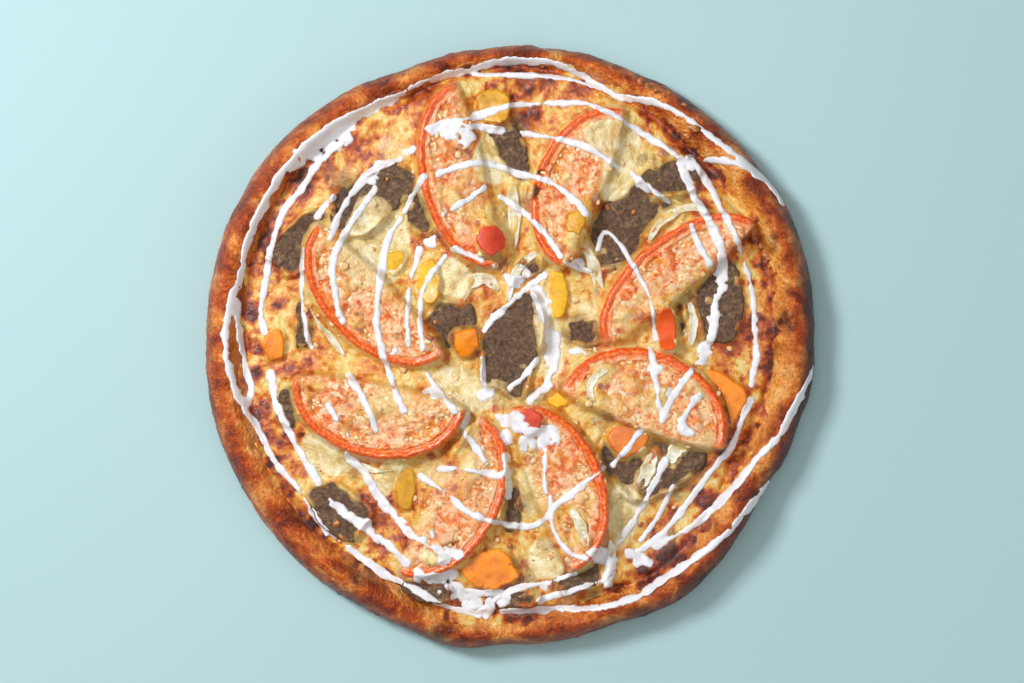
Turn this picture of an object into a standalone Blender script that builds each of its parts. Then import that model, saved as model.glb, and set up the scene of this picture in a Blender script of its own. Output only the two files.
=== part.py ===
"""A donair pizza: a browned crust with a raised rim, a layer of cheese, slices of meat, tomato half slices,
pieces of pepper, strips of onion, and a thick white sauce drizzled over them in loops.

Metres, +Z up. The origin is under the middle of the pizza, on the surface that it lies on.
Places are pixels of the photograph, which looks straight down, and place() turns them into metres.
"""

import bpy
import math
import numpy as np

MM = 0.001

# The size of the whole, and the photograph's scale
PIZZA_WIDTH = 260 * MM
PHOTO_PIZZA_WIDTH = 610.0
PHOTO_MIDDLE = (511.0, 346.0)
PIXEL = PIZZA_WIDTH / PHOTO_PIZZA_WIDTH

# The crust: photograph pixels from the middle to its outer edge, by direction in degrees from +X
CRUST_EDGE = (
    (0, 305), (15, 308), (30, 310), (35, 306), (40, 307.5), (45, 304.5), (60, 304.5), (65, 302),
    (75, 304), (84, 301.5), (88, 303), (96, 299.5), (100, 301), (106, 299), (112, 297.5), (120, 303),
    (127, 305.5), (135, 309), (144, 310.5), (156, 310), (165, 308.5), (180, 306), (187, 307), (198, 307),
    (210, 305.5), (225, 304.5), (240, 302.5), (250, 302), (255, 307), (260, 307.5), (268, 300), (283, 300),
    (291, 297), (297, 303), (303, 307), (308, 305.5), (315, 302), (320, 298), (328, 294), (333, 293.5),
    (336, 297), (346, 299.5), (350, 303), (355, 305),
)
# Width and height of the rim in millimetres, by direction in degrees
RIM_WIDTH = (
    (0, 19), (30, 18), (50, 17), (75, 11), (90, 9.5), (105, 11), (135, 16), (180, 17.5), (215, 19),
    (240, 18), (270, 13), (300, 16), (330, 18),
)
RIM_HEIGHT = (
    (0, 20), (25, 21.5), (45, 20), (70, 17), (90, 15.5), (110, 17), (135, 19), (165, 21), (200, 20),
    (225, 19.5), (237, 22), (248, 19), (270, 17), (300, 19), (325, 20.5), (345, 19),
)
# The rim's section from its foot round to the cheese: share of its width inwards, share of its height
RIM_SECTION = (
    (0.24, 0.0), (0.06, 0.09), (0.0, 0.28), (0.04, 0.5), (0.16, 0.76), (0.33, 0.94), (0.5, 1.0),
    (0.68, 0.93), (0.84, 0.76), (0.97, 0.56),
)
# The point of that section where its upper side begins
SECTION_TOP = 2
RIM_SIDES = 86
DOUGH_THICKNESS = 7 * MM
# The middle of the crust's underside, off the centre so that no triangles run out to it edge on
UNDERSIDE_MIDDLE = (12 * MM, 7 * MM, 0.0)

# The cheese
CHEESE_TOP = 11 * MM
CHEESE_RISE_AT_RIM = 1.2 * MM
CHEESE_GAP = 0.5 * MM
CHEESE_SIDES = 64
CHEESE_RINGS = (1.0, 0.94, 0.8, 0.6, 0.4, 0.2)
CHEESE_SWELL = 0.45 * MM

# How the toppings lie: cells of the height map, gaps under and beside a piece, how much more a place counts
# that the piece leans on, and how hard it is to tilt and to bend a piece
PILE_CELL = 0.7 * MM
REST_GAP = 0.4 * MM
SIDE_GAP = 0.7 * MM
LEAN_WEIGHT = 60.0
LEAN_ROUNDS = 25
TILT_HOLD = 0.02
MEAT_STIFFNESS = 0.01
PEPPER_STIFFNESS = 0.05
ONION_STIFFNESS = 0.05
TOMATO_STIFFNESS = 0.05

# Rings of a flat piece: share of its outline, and share of its thickness; and its number of sides
TOMATO_RINGS = ((0.55, 0.0), (0.95, 0.0), (1.0, 0.45), (0.97, 0.85), (0.86, 1.0), (0.45, 1.0))
MEAT_RINGS = ((0.93, 0.0), (1.0, 0.4), (0.95, 0.9), (0.6, 1.0))
PEPPER_RINGS = ((0.9, 0.0), (1.0, 0.5), (0.82, 1.0))
TOMATO_SIDES = 24
MEAT_SIDES = 12
PEPPER_SIDES = 10

# Tomato half slices: the outer and the inner tip of the cut, and the reach of the skin, in photograph pixels
TOMATO_THICKNESS = 5.2 * MM
TOMATO_BELLY = 0.16
TOMATOES = (
    ((455, 84), (498, 268), 56),
    ((623, 111), (562, 268), 58),
    ((753, 225), (605, 345), 50),
    ((722, 447), (562, 388), 68),
    ((573, 570), (510, 408), 63),
    ((400, 572), (482, 415), 60),
    ((295, 378), (466, 410), 64),
    ((318, 226), (444, 355), 58),
)

# Slices of meat: middle, length and width in photograph pixels, and heading in degrees
MEAT_THICKNESS = 2.7 * MM
MEATS = (
    (303, 243, 78, 46, 45), (372, 200, 96, 50, 35), (426, 214, 44, 32, 60), (511, 150, 64, 30, 112),
    (630, 226, 118, 66, 40), (672, 178, 58, 38, 20), (716, 290, 112, 46, 98), (678, 322, 44, 18, 90),
    (513, 346, 104, 58, 76), (452, 325, 54, 48, 0), (528, 266, 32, 24, 20), (586, 332, 36, 28, 10),
    (652, 456, 112, 74, 20), (340, 510, 66, 46, 140), (290, 405, 46, 24, 80), (510, 508, 46, 22, 90),
    (580, 577, 46, 26, 30), (428, 590, 50, 22, -12), (524, 598, 34, 16, 0), (303, 325, 50, 15, 90),
)

# Pieces of pepper: outline points in photograph pixels, and thickness in millimetres
PEPPERS = (
    (((476, 94), (497, 89), (511, 98), (510, 122), (494, 127), (478, 118)), 3.5),
    (((268, 330), (281, 329), (288, 343), (284, 359), (270, 362), (264, 347)), 3.5),
    (((452, 333), (475, 328), (482, 345), (470, 359), (457, 358)), 4.5),
    (((551, 272), (563, 270), (569, 295), (565, 319), (553, 321), (548, 298)), 3.5),
    (((702, 367), (717, 370), (749, 393), (729, 432), (708, 408)), 3.0),
    (((456, 566), (470, 553), (501, 545), (523, 575), (491, 591), (470, 583)), 5.0),
    (((400, 468), (413, 466), (418, 489), (411, 510), (399, 508), (396, 487)), 3.5),
    (((421, 261), (435, 258), (442, 282), (438, 304), (424, 306), (418, 284)), 3.5),
    (((381, 252), (402, 250), (408, 263), (393, 278), (382, 268)), 3.0),
    (((413, 410), (431, 406), (445, 420), (438, 436), (421, 438), (411, 424)), 3.0),
    (((604, 440), (612, 424), (632, 418), (650, 430), (645, 446), (624, 459)), 4.0),
    (((546, 400), (560, 390), (572, 392), (568, 404), (553, 411)), 3.0),
)
PEPPERS_ON_TOP = (
    (((566, 216), (580, 211), (586, 222), (579, 237), (567, 234)), 2.6),
    (((658, 309), (669, 307), (677, 328), (673, 350), (661, 352), (655, 331)), 3.5),
    (((476, 230), (490, 224), (505, 233), (505, 251), (489, 257), (477, 247)), 3.5),
    (((514, 414), (530, 406), (543, 415), (540, 432), (524, 437), (513, 427)), 3.0),
)

# Strips of onion: points of the middle line and the width, in photograph pixels
ONION_THICKNESS = 1.7 * MM
ONION_TAPER = 0.22
ONIONS = (
    (((462, 300), (470, 284), (486, 279), (499, 290)), 13),
    (((508, 302), (514, 277), (528, 259), (543, 251)), 8),
    (((580, 240), (592, 262), (598, 285), (600, 303)), 12),
    (((303, 290), (318, 315), (332, 338), (345, 355)), 8),
    (((612, 480), (615, 518), (611, 553), (605, 585)), 11),
    (((352, 461), (376, 468), (401, 465)), 9),
    (((512, 186), (515, 218), (512, 250)), 13),
    (((653, 453), (647, 470), (640, 487)), 15),
    (((669, 462), (675, 450), (687, 443)), 15),
)
ONIONS_ON_TOP = (
    (((648, 241), (658, 225), (674, 213), (690, 208), (705, 212)), 9),
    (((689, 303), (693, 322), (690, 345)), 9),
    (((571, 508), (580, 524), (586, 544)), 11),
    (((608, 368), (594, 378), (589, 391), (594, 401)), 8),
)

# The sauce: its height, its depth in the surface under it, the step along it, the shortest piece of it, the
# room beside it, and the outer share of the rim that stays bare
SAUCE_HEIGHT = 1.3 * MM
SAUCE_DEPTH = 0.7 * MM
SAUCE_STEP = 9 * MM
SAUCE_SHORTEST = 12 * MM
SAUCE_CLEARANCE = 0.9 * MM
RIM_BARE = 0.2
# Its section: share of the width, and share of the height or, below, of the depth
SAUCE_SECTION = ((-0.5, -1.0), (-0.44, 0.4), (0.0, 1.0), (0.44, 0.4), (0.5, -1.0))
# Strokes of sauce: points of the middle line in photograph pixels, and the width in millimetres
SAUCE_STROKES = (
    (((470, 68), (490, 61), (505, 57), (545, 58), (575, 68), (600, 84), (625, 97), (655, 103), (685, 119),
      (703, 133), (728, 152), (750, 170), (770, 186), (783, 206)), 4.0),
    (((705, 161), (730, 163), (752, 174)), 3.0),
    (((460, 72), (430, 80), (400, 95), (370, 108), (340, 124), (312, 143), (290, 165), (272, 192), (258, 220),
      (247, 250), (243, 275), (232, 305), (228, 330), (229, 355), (236, 385), (247, 408), (260, 430),
      (272, 455), (290, 478), (306, 500), (322, 525), (343, 543), (366, 560), (388, 575), (415, 588),
      (445, 605), (480, 614)), 4.0),
    (((345, 140), (318, 165), (302, 190), (285, 210), (276, 235), (270, 262), (265, 290), (262, 315),
      (265, 332)), 3.4),
    (((238, 300), (240, 330), (246, 365), (252, 390), (247, 408)), 3.0),
    (((272, 373), (276, 400), (287, 425), (300, 450), (320, 482)), 3.4),
    (((305, 250), (303, 290), (308, 335), (313, 348)), 2.2),
    (((400, 160), (372, 172), (353, 195), (340, 215), (331, 240)), 3.4),
    (((375, 190), (350, 228), (337, 255), (334, 275), (340, 312), (344, 322)), 3.2),
    (((335, 198), (325, 208), (318, 217)), 3.2),
    (((400, 220), (388, 242), (383, 270), (378, 320), (383, 352), (394, 385), (405, 410)), 3.4),
    (((420, 250), (412, 280), (408, 310), (409, 345)), 3.4),
    (((445, 258), (426, 283), (421, 308), (423, 348)), 3.2),
    (((425, 178), (414, 196), (405, 212)), 3.2),
    (((330, 405), (344, 426), (357, 448)), 3.2),
    (((350, 375), (363, 395), (378, 430)), 3.2),
    (((428, 375), (441, 392), (455, 410)), 3.2),
    (((430, 132), (450, 125), (470, 128)), 6.0),
    (((455, 125), (475, 118), (515, 106), (560, 104), (585, 104), (610, 115), (640, 133), (665, 148),
      (685, 165)), 3.4),
    (((470, 72), (480, 75), (520, 76), (560, 78), (585, 84), (600, 88)), 3.0),
    (((475, 128), (505, 132), (545, 137), (575, 145), (603, 158), (617, 168)), 3.4),
    (((440, 175), (480, 164), (520, 175), (550, 183), (575, 203), (585, 215)), 3.4),
    (((443, 215), (470, 200), (485, 188)), 3.2),
    (((500, 197), (520, 210), (545, 235), (560, 257)), 3.2),
    (((455, 250), (470, 255), (494, 266)), 3.4),
    (((545, 275), (525, 290), (507, 307), (490, 322), (485, 330)), 3.4),
    (((535, 290), (550, 325), (557, 345), (553, 370), (545, 385), (530, 400)), 4.2),
    (((565, 264), (578, 268), (590, 272)), 3.0),
    (((597, 250), (604, 232), (618, 243), (630, 262), (640, 280), (648, 296), (652, 315), (655, 340)), 3.2),
    (((650, 190), (662, 199), (675, 207)), 2.4),
    (((690, 226), (697, 245), (708, 265)), 3.2),
    (((690, 160), (705, 180), (720, 208), (732, 232), (742, 260), (751, 290), (755, 332), (755, 360),
      (750, 385)), 3.4),
    (((680, 165), (692, 195), (706, 220), (718, 250), (722, 285), (715, 300), (712, 330), (703, 358)), 4.4),
    (((750, 400), (740, 422), (731, 445), (712, 468), (697, 490), (680, 512), (660, 535), (640, 550)), 3.4),
    (((817, 363), (803, 388), (790, 412), (775, 437), (757, 455), (742, 475), (725, 495), (705, 515),
      (685, 530), (655, 546)), 3.4),
    (((780, 475), (760, 492), (742, 513), (722, 535), (700, 552), (675, 570), (648, 588), (620, 601),
      (590, 607), (560, 608), (530, 610), (502, 611)), 3.6),
    (((605, 578), (570, 590), (540, 599)), 3.2),
    (((575, 572), (545, 582), (515, 588), (495, 600), (480, 610)), 3.2),
    (((350, 455), (365, 472), (378, 495), (395, 515), (412, 532), (432, 546), (460, 552)), 3.8),
    (((330, 498), (357, 520), (385, 542), (408, 562)), 3.4),
    (((420, 475), (450, 495), (470, 512), (505, 523), (535, 525), (555, 505), (575, 490), (603, 467)), 3.4),
    (((440, 468), (460, 468), (500, 475)), 3.2),
    (((468, 413), (465, 430), (475, 445), (487, 460)), 3.4),
    (((505, 455), (508, 475), (508, 495)), 3.8),
    (((500, 417), (525, 428), (555, 440)), 6.0),
    (((550, 495), (552, 525), (568, 550), (585, 556)), 2.4),
    (((487, 355), (488, 380), (482, 400)), 3.2),
    (((537, 360), (524, 376), (510, 388)), 3.2),
    (((650, 350), (653, 370), (658, 405)), 3.2),
    (((690, 370), (672, 395), (660, 420)), 3.2),
    (((698, 395), (680, 420), (690, 432)), 3.2),
    (((640, 430), (626, 448), (612, 465)), 3.2),
    (((665, 458), (650, 490), (632, 522), (618, 540)), 3.2),
    (((672, 485), (657, 517), (640, 540)), 2.4),
)

# Colours and roughness of the materials
CRUST_BROWN = (0.38, 0.15, 0.05)
CHEESE_CREAM = (0.80, 0.58, 0.26)
TOMATO_RED = (0.70, 0.16, 0.05)
MEAT_BROWN = (0.14, 0.09, 0.05)
PEPPER_ORANGE = (0.90, 0.36, 0.02)
ONION_CREAM = (0.70, 0.60, 0.38)
CRUST_ROUGHNESS = 0.35
CHEESE_ROUGHNESS = 0.4
MEAT_ROUGHNESS = 0.6
WET_ROUGHNESS = 0.3


def remove_everything():
    """Empties the scene."""
    for old in list(bpy.data.objects):
        bpy.data.objects.remove(old, do_unlink=True)


def material(name, colour, roughness):
    """A plain finish with one colour."""
    finish = bpy.data.materials.new(name)
    finish.use_nodes = True
    shader = finish.node_tree.nodes["Principled BSDF"]
    shader.inputs["Base Color"].default_value = (*colour, 1.0)
    shader.inputs["Roughness"].default_value = roughness
    shader.inputs["Metallic"].default_value = 0.0
    return finish


def add_object(name, points, faces, finish):
    """A named object from corner points and faces."""
    mesh = bpy.data.meshes.new(name)
    mesh.from_pydata([tuple(point) for point in points], [], faces)
    mesh.update()
    mesh.materials.append(finish)
    mesh.shade_smooth()
    mesh.set_sharp_from_angle(angle=math.radians(50))
    piece = bpy.data.objects.new(name, mesh)
    bpy.context.scene.collection.objects.link(piece)
    return piece


def by_direction(table, degrees):
    """A value that changes smoothly round the pizza, from (direction, value) pairs."""
    given = np.array(table, dtype=float)
    fine = np.arange(720) / 2.0
    values = np.interp(fine, given[:, 0], given[:, 1], period=360.0)
    kernel = np.array([1.0, 2.0, 3.0, 2.0, 1.0]) / 9.0
    for _ in range(2):
        wrapped = np.concatenate([values[-2:], values, values[:2]])
        values = np.convolve(wrapped, kernel, mode="valid")
    return np.interp(degrees, fine, values, period=360.0)


def crust_radius(degrees):
    """Distance from the photograph's middle point to the crust's outer edge."""
    return by_direction(CRUST_EDGE, degrees) * PIXEL


def edge_middle():
    """The middle of the crust's bounding box, seen from the photograph's middle point."""
    degrees = np.arange(RIM_SIDES) * 360.0 / RIM_SIDES
    turn = np.radians(degrees)
    edge = crust_radius(degrees)[:, None] * np.stack([np.cos(turn), np.sin(turn)], axis=1)
    return 0.5 * (edge.min(axis=0) + edge.max(axis=0))


BOX_MIDDLE = edge_middle()


def place(pixels):
    """Photograph pixels as metres in the part's frame."""
    pixels = np.array(pixels, dtype=float)
    across = (pixels[..., 0] - PHOTO_MIDDLE[0]) * PIXEL - BOX_MIDDLE[0]
    along = (PHOTO_MIDDLE[1] - pixels[..., 1]) * PIXEL - BOX_MIDDLE[1]
    return np.stack([across, along], axis=-1)


def seen_from_middle(x, y):
    """Distance and direction in degrees from the photograph's middle point."""
    across = x + BOX_MIDDLE[0]
    along = y + BOX_MIDDLE[1]
    return np.hypot(across, along), np.degrees(np.arctan2(along, across)) % 360.0


def rim_wave(degrees):
    """Slow unevenness of the rim, between -1 and 1."""
    turn = np.radians(degrees)
    return (np.sin(5 * turn + 0.7) + np.sin(11 * turn + 2.1) + np.sin(23 * turn + 4.0)) / 3.0


def rim_measures(degrees):
    """Outer radius, width and height of the rim."""
    height = by_direction(RIM_HEIGHT, degrees) * MM
    height = height * (1.0 + 0.04 * rim_wave(degrees))
    return crust_radius(degrees), by_direction(RIM_WIDTH, degrees) * MM, height


def cheese_radius(degrees):
    """Distance from the middle point to the edge of the cheese."""
    radius, width, height = rim_measures(degrees)
    return radius - width - CHEESE_GAP


def cheese_height(x, y):
    """Top of the cheese: a gentle swell, and a small rise towards the rim."""
    reach, degrees = seen_from_middle(x, y)
    share = np.clip(reach / cheese_radius(degrees), 0.0, 1.0)
    swell = np.sin(x * 61.0 + 0.4) * np.sin(y * 53.0 + 1.1)
    return CHEESE_TOP + CHEESE_SWELL * swell + CHEESE_RISE_AT_RIM * share ** 6


def crust_height(x, y):
    """Top of the rim at a place on it, read from its section."""
    reach, degrees = seen_from_middle(x, y)
    radius, width, height = rim_measures(degrees)
    section = np.array(RIM_SECTION[SECTION_TOP:])
    return np.interp((radius - reach) / width, section[:, 0], section[:, 1]) * height


def turned_points(degrees, radius, height):
    """One ring of points round the middle point."""
    turn = np.radians(degrees)
    x = radius * np.cos(turn) - BOX_MIDDLE[0]
    y = radius * np.sin(turn) - BOX_MIDDLE[1]
    return np.stack([x, y, np.broadcast_to(height, x.shape)], axis=1)


def rings_to_mesh(rings, first_pole, last_pole):
    """Points and faces of a closed body: a pole, rings of equal size, and a pole. Rings run from below,
    outwards and up, and then inwards."""
    count = len(rings[0])
    points = np.concatenate([[first_pole], *rings, [last_pole]])
    last = len(points) - 1
    faces = []
    for i in range(count):
        j = (i + 1) % count
        faces.append((0, 1 + j, 1 + i))
        faces.append((last, last - count + i, last - count + j))
    for ring in range(len(rings) - 1):
        low = 1 + ring * count
        for i in range(count):
            j = (i + 1) % count
            faces.append((low + i, low + j, low + count + j, low + count + i))
    return points, faces


def crust(finish):
    """The bread: a flat base with a plump, uneven rim that slopes outwards at its foot."""
    degrees = np.arange(RIM_SIDES) * 360.0 / RIM_SIDES
    radius, width, height = rim_measures(degrees)
    rings = [turned_points(degrees, radius * 0.5, 0.0)]
    for inward, up in RIM_SECTION:
        rings.append(turned_points(degrees, radius - inward * width, up * height))
    rings.append(turned_points(degrees, radius - width, DOUGH_THICKNESS))
    rings.append(turned_points(degrees, (radius - width) * 0.5, DOUGH_THICKNESS))
    over = (0.0, 0.0, DOUGH_THICKNESS)
    points, faces = rings_to_mesh(rings, UNDERSIDE_MIDDLE, over)
    return add_object("crust", points, faces, finish)


def cheese(finish):
    """The cheese: a layer that fills the space inside the rim."""
    degrees = np.arange(CHEESE_SIDES) * 360.0 / CHEESE_SIDES
    radius = cheese_radius(degrees)
    floor = DOUGH_THICKNESS + CHEESE_GAP
    rings = [turned_points(degrees, radius, floor)]
    for share in CHEESE_RINGS:
        ring = turned_points(degrees, radius * share, 0.0)
        ring[:, 2] = cheese_height(ring[:, 0], ring[:, 1])
        rings.append(ring)
    middle = (0.0, 0.0, float(cheese_height(0.0, 0.0)))
    points, faces = rings_to_mesh(rings, (0.0, 0.0, floor), middle)
    return add_object("cheese", points, faces, finish)


def smooth_line(points, count):
    """Evenly spaced points on a smooth curve through the given ones."""
    padded = np.concatenate([[2 * points[0] - points[1]], points, [2 * points[-1] - points[-2]]])
    t = np.linspace(0, len(points) - 1, 40 * len(points))
    k = np.minimum(t.astype(int), len(points) - 2)
    f = (t - k)[:, None]
    a, b, c, d = padded[k], padded[k + 1], padded[k + 2], padded[k + 3]
    fine = 0.5 * (2 * b + (c - a) * f + (2 * a - 5 * b + 4 * c - d) * f**2 + (3 * b - a - 3 * c + d) * f**3)
    run = np.concatenate([[0.0], np.cumsum(np.hypot(*np.diff(fine, axis=0).T))])
    even = np.linspace(0.0, run[-1], count)
    return np.stack([np.interp(even, run, fine[:, 0]), np.interp(even, run, fine[:, 1])], axis=1)


def closed_line(points, count):
    """Points on a smooth closed curve through the given ones."""
    again = np.concatenate([points[-2:], points, points[:3]])
    fine = smooth_line(again, 40 * len(again))
    start = np.argmin(np.hypot(*(fine[: len(fine) // 2] - points[0]).T))
    stop = len(fine) // 2 + np.argmin(np.hypot(*(fine[len(fine) // 2:] - points[0]).T))
    return smooth_line(fine[start: stop + 1], count + 1)[:-1]


def tomato_outline(tip_a, tip_b, skin_reach):
    """A half slice: half an ellipse on the skin side, and a slightly bellied cut."""
    a, b = place(tip_a), place(tip_b)
    along = b - a
    side = np.array([along[1], -along[0]]) / np.hypot(*along)
    t = np.linspace(0.0, math.pi, 25)[:, None]
    skin = a + along * (1 - np.cos(t)) / 2 + side * np.sin(t) * skin_reach * PIXEL
    cut = b - along * (1 - np.cos(t)) / 2 - side * np.sin(t) * skin_reach * PIXEL * TOMATO_BELLY
    return np.concatenate([skin[:-1], cut[:-1]])


def meat_outline(x, y, long, wide, heading, number):
    """An oblong slice with blunt ends and an uneven edge."""
    t = np.arange(48) * math.pi / 24
    wobble = 1.0 + 0.07 * np.sin(3 * t + number) + 0.05 * np.sin(5 * t + 2.3 * number)
    across = np.sign(np.cos(t)) * np.abs(np.cos(t)) ** 0.75 * long / 2 * wobble
    along = np.sign(np.sin(t)) * np.abs(np.sin(t)) ** 0.75 * wide / 2 * wobble
    turn = math.radians(heading)
    pixel_x = x + across * math.cos(turn) - along * math.sin(turn)
    pixel_y = y - across * math.sin(turn) - along * math.cos(turn)
    return place(np.stack([pixel_x, pixel_y], axis=1))


def star_shape(outline):
    """An outline as its middle and its reach in each direction from there."""
    if np.cross(outline, np.roll(outline, -1, axis=0)).sum() < 0:
        outline = outline[::-1]
    middle = 0.5 * (outline.min(axis=0) + outline.max(axis=0))
    middle = 0.5 * (middle + outline.mean(axis=0))
    offset = outline - middle
    turn = np.arctan2(offset[:, 1], offset[:, 0])
    order = np.argsort(turn)
    return middle, turn[order], np.hypot(offset[:, 0], offset[:, 1])[order]


def reach_at(shape, turn):
    """How far a star shape reaches in a direction."""
    return np.interp(turn, shape[1], shape[2], period=2 * math.pi)


def grid_axes():
    """The cells of the height map, over the whole pizza."""
    half = PIZZA_WIDTH / 2 + 4 * MM
    line = np.arange(-half, half, PILE_CELL)
    return np.meshgrid(line, line, indexing="ij")


GRID_X, GRID_Y = grid_axes()


def share_of_shape(shape, x, y):
    """Distance from a star shape's middle as a share of its reach there: 1 is its outline."""
    dx, dy = x - shape[0][0], y - shape[0][1]
    return np.hypot(dx, dy) / reach_at(shape, np.arctan2(dy, dx))


def distance_to_line(line, x, y):
    """Distance from each place to a line of points."""
    nearest = np.full(x.shape, np.inf)
    for a, b in zip(line[:-1], line[1:]):
        along = b - a
        t = ((x - a[0]) * along[0] + (y - a[1]) * along[1]) / along.dot(along)
        t = np.clip(t, 0.0, 1.0)
        nearest = np.minimum(nearest, np.hypot(x - a[0] - t * along[0], y - a[1] - t * along[1]))
    return nearest


def first_pile():
    """The height map before any topping: the cheese, with the rim round it."""
    reach, degrees = seen_from_middle(GRID_X, GRID_Y)
    on_rim = reach > cheese_radius(degrees)
    return np.where(on_rim, crust_height(GRID_X, GRID_Y), cheese_height(GRID_X, GRID_Y))


def bend_columns(x, y, middle, size):
    """The six terms of a quadratic surface."""
    u, v = (x - middle[0]) / size, (y - middle[1]) / size
    return np.stack([np.ones_like(u), u, v, u * u, u * v, v * v], axis=-1)


def settle(pile, footprint, middle, size, stiffness):
    """The underside of a piece that leans on the pile: a quadratic surface that touches it from above."""
    terms = bend_columns(GRID_X[footprint], GRID_Y[footprint], middle, size)
    under = pile[footprint]
    hold = np.diag([0.0, TILT_HOLD, TILT_HOLD, stiffness, stiffness, stiffness]) * len(under)
    weight = np.ones(len(under))
    for _ in range(LEAN_ROUNDS):
        weighted = terms * weight[:, None]
        bend = np.linalg.solve(terms.T @ weighted + hold, weighted.T @ under)
        weight = np.where(under > terms @ bend, LEAN_WEIGHT, 1.0)
    bend[0] += (under - terms @ bend).max() + REST_GAP
    return bend


def lay_down(pile, spread, middle, size, thickness, stiffness):
    """Settles a piece on the pile, raises the pile under it, and gives its underside."""
    bend = settle(pile, spread, middle, size, stiffness)

    def underside(x, y):
        return bend_columns(x, y, middle, size) @ bend

    top = underside(GRID_X, GRID_Y) + thickness
    pile[spread] = np.maximum(pile[spread], top[spread])
    return underside


def flat_piece(name, outline, thickness, rings, sides, stiffness, pile, finish):
    """A slice or chunk that lies on the pile: rings that follow its outline, between two poles."""
    shape = star_shape(outline)
    middle = shape[0]
    spread = share_of_shape(shape, GRID_X, GRID_Y) * shape[2].min() < shape[2].min() + SIDE_GAP * 0.5
    underside = lay_down(pile, spread, middle, shape[2].max(), thickness, stiffness)
    turn = np.arange(sides) * 2 * math.pi / sides
    if rings is TOMATO_RINGS:
        step = len(shape[1]) / sides
        turn = shape[1][(np.arange(sides) * step).astype(int)]
    edge = reach_at(shape, turn)[:, None] * np.stack([np.cos(turn), np.sin(turn)], axis=1)
    body = []
    for share, up in rings:
        flat = middle + share * edge
        height = underside(flat[:, 0], flat[:, 1]) + up * thickness
        body.append(np.column_stack([flat, height]))
    base = float(underside(middle[0], middle[1]))
    points, faces = rings_to_mesh(body, (*middle, base), (*middle, base + thickness))
    piece = add_object(name, points, faces, finish)

    def top(x, y):
        return underside(x, y) + thickness

    def on_top(x, y, half):
        inset = (1.0 - share_of_shape(shape, x, y)) * shape[2].min()
        return (inset > half * 0.5) & is_free(pile, top, x, y, half)

    return piece, top, on_top


def line_sides(line):
    """Unit vectors to the left of a line of points."""
    along = np.gradient(line, axis=0)
    along = along / np.hypot(along[:, 0], along[:, 1])[:, None]
    return np.stack([-along[:, 1], along[:, 0]], axis=1)


def sections_to_mesh(sections):
    """Points and faces of a closed body carried along a line: sections of equal size, capped at both ends."""
    count = len(sections[0])
    points = np.concatenate(sections)
    faces = [tuple(range(count)), tuple(range(len(points) - 1, len(points) - count - 1, -1))]
    for number in range(len(sections) - 1):
        low = number * count
        for i in range(count):
            j = (i + 1) % count
            faces.append((low + i, low + count + i, low + count + j, low + j))
    return points, faces


def onion_strip(name, pixels, width, pile, finish):
    """A thin strip that follows the pile under it."""
    line = smooth_line(place(pixels), 9)
    half = width * PIXEL / 2
    spread = distance_to_line(line, GRID_X, GRID_Y) < half + SIDE_GAP
    middle = line.mean(axis=0)
    size = np.hypot(*(line - middle).T).max() + half
    underside = lay_down(pile, spread, middle, size, ONION_THICKNESS, ONION_STIFFNESS)
    side = line_sides(line) * half
    taper = np.sin(np.linspace(ONION_TAPER, math.pi - ONION_TAPER, len(line)))[:, None] ** 0.6
    side = side * taper
    sections = []
    for at, out in zip(line, side):
        section = []
        for share, up in ((-1.0, 0.0), (1.0, 0.0), (0.75, 1.0), (-0.75, 1.0)):
            flat = at + share * out
            section.append((*flat, underside(*flat) + up * ONION_THICKNESS))
        sections.append(np.array(section))
    points, faces = sections_to_mesh(sections[::-1])
    return add_object(name, points, faces, finish)


def cell_of(x, y):
    """The cell of the height map that holds a place."""
    last = len(GRID_X) - 1
    i = np.clip(((x - GRID_X[0, 0]) / PILE_CELL).round().astype(int), 0, last)
    j = np.clip(((y - GRID_Y[0, 0]) / PILE_CELL).round().astype(int), 0, last)
    return i, j


def is_free(pile, height, x, y, half):
    """True where a band round a place is the surface itself, with nothing lying on it."""
    free = np.ones(x.shape, dtype=bool)
    for turn in np.arange(8) * math.pi / 4:
        cell = cell_of(x + math.cos(turn) * (half + SAUCE_CLEARANCE),
                       y + math.sin(turn) * (half + SAUCE_CLEARANCE))
        free &= pile[cell] < height(GRID_X[cell], GRID_Y[cell]) + REST_GAP / 2
    return free


def runs_of(keep):
    """First and last positions of each unbroken run of True."""
    edges = np.flatnonzero(np.diff(np.concatenate([[0], keep.astype(int), [0]])))
    return list(zip(edges[::2], edges[1::2]))


def sauce_ridges(height, allowed, finish):
    """Ridges of sauce along the strokes, wherever they run over one surface and clear of other pieces."""
    ridges = bpy.data.collections.new("sauce")
    bpy.context.scene.collection.children.link(ridges)
    for pixels, width in SAUCE_STROKES:
        corners = place(pixels)
        length = np.hypot(*np.diff(corners, axis=0).T).sum()
        line = smooth_line(corners, max(8, int(length / MM)))
        keep = allowed(line[:, 0], line[:, 1], width * MM / 2)
        for start, stop in runs_of(keep):
            if (stop - start) * MM >= SAUCE_SHORTEST:
                part = line[start:stop]
                part = part[np.linspace(0, len(part) - 1, 2 + int(len(part) * MM / SAUCE_STEP)).astype(int)]
                ridges.objects.link(sauce_ridge(part, width * MM, height, finish))
    return ridges


def sauce_ridge(line, width, height, finish):
    """One ridge: a low rounded section carried along its line, sunk a little into the surface."""
    side = line_sides(line) * width
    side[0] *= 0.5
    side[-1] *= 0.5
    sections = []
    for at, out in zip(line, side):
        section = []
        for share, up in SAUCE_SECTION:
            flat = at + share * out
            rise = SAUCE_HEIGHT if up > 0 else SAUCE_DEPTH
            section.append((*flat, float(height(*flat)) + up * rise))
        sections.append(np.array(section))
    points, faces = sections_to_mesh(sections)
    ridge = add_object("sauce_ridge", points, faces, finish)
    bpy.context.scene.collection.objects.unlink(ridge)
    return ridge


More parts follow.
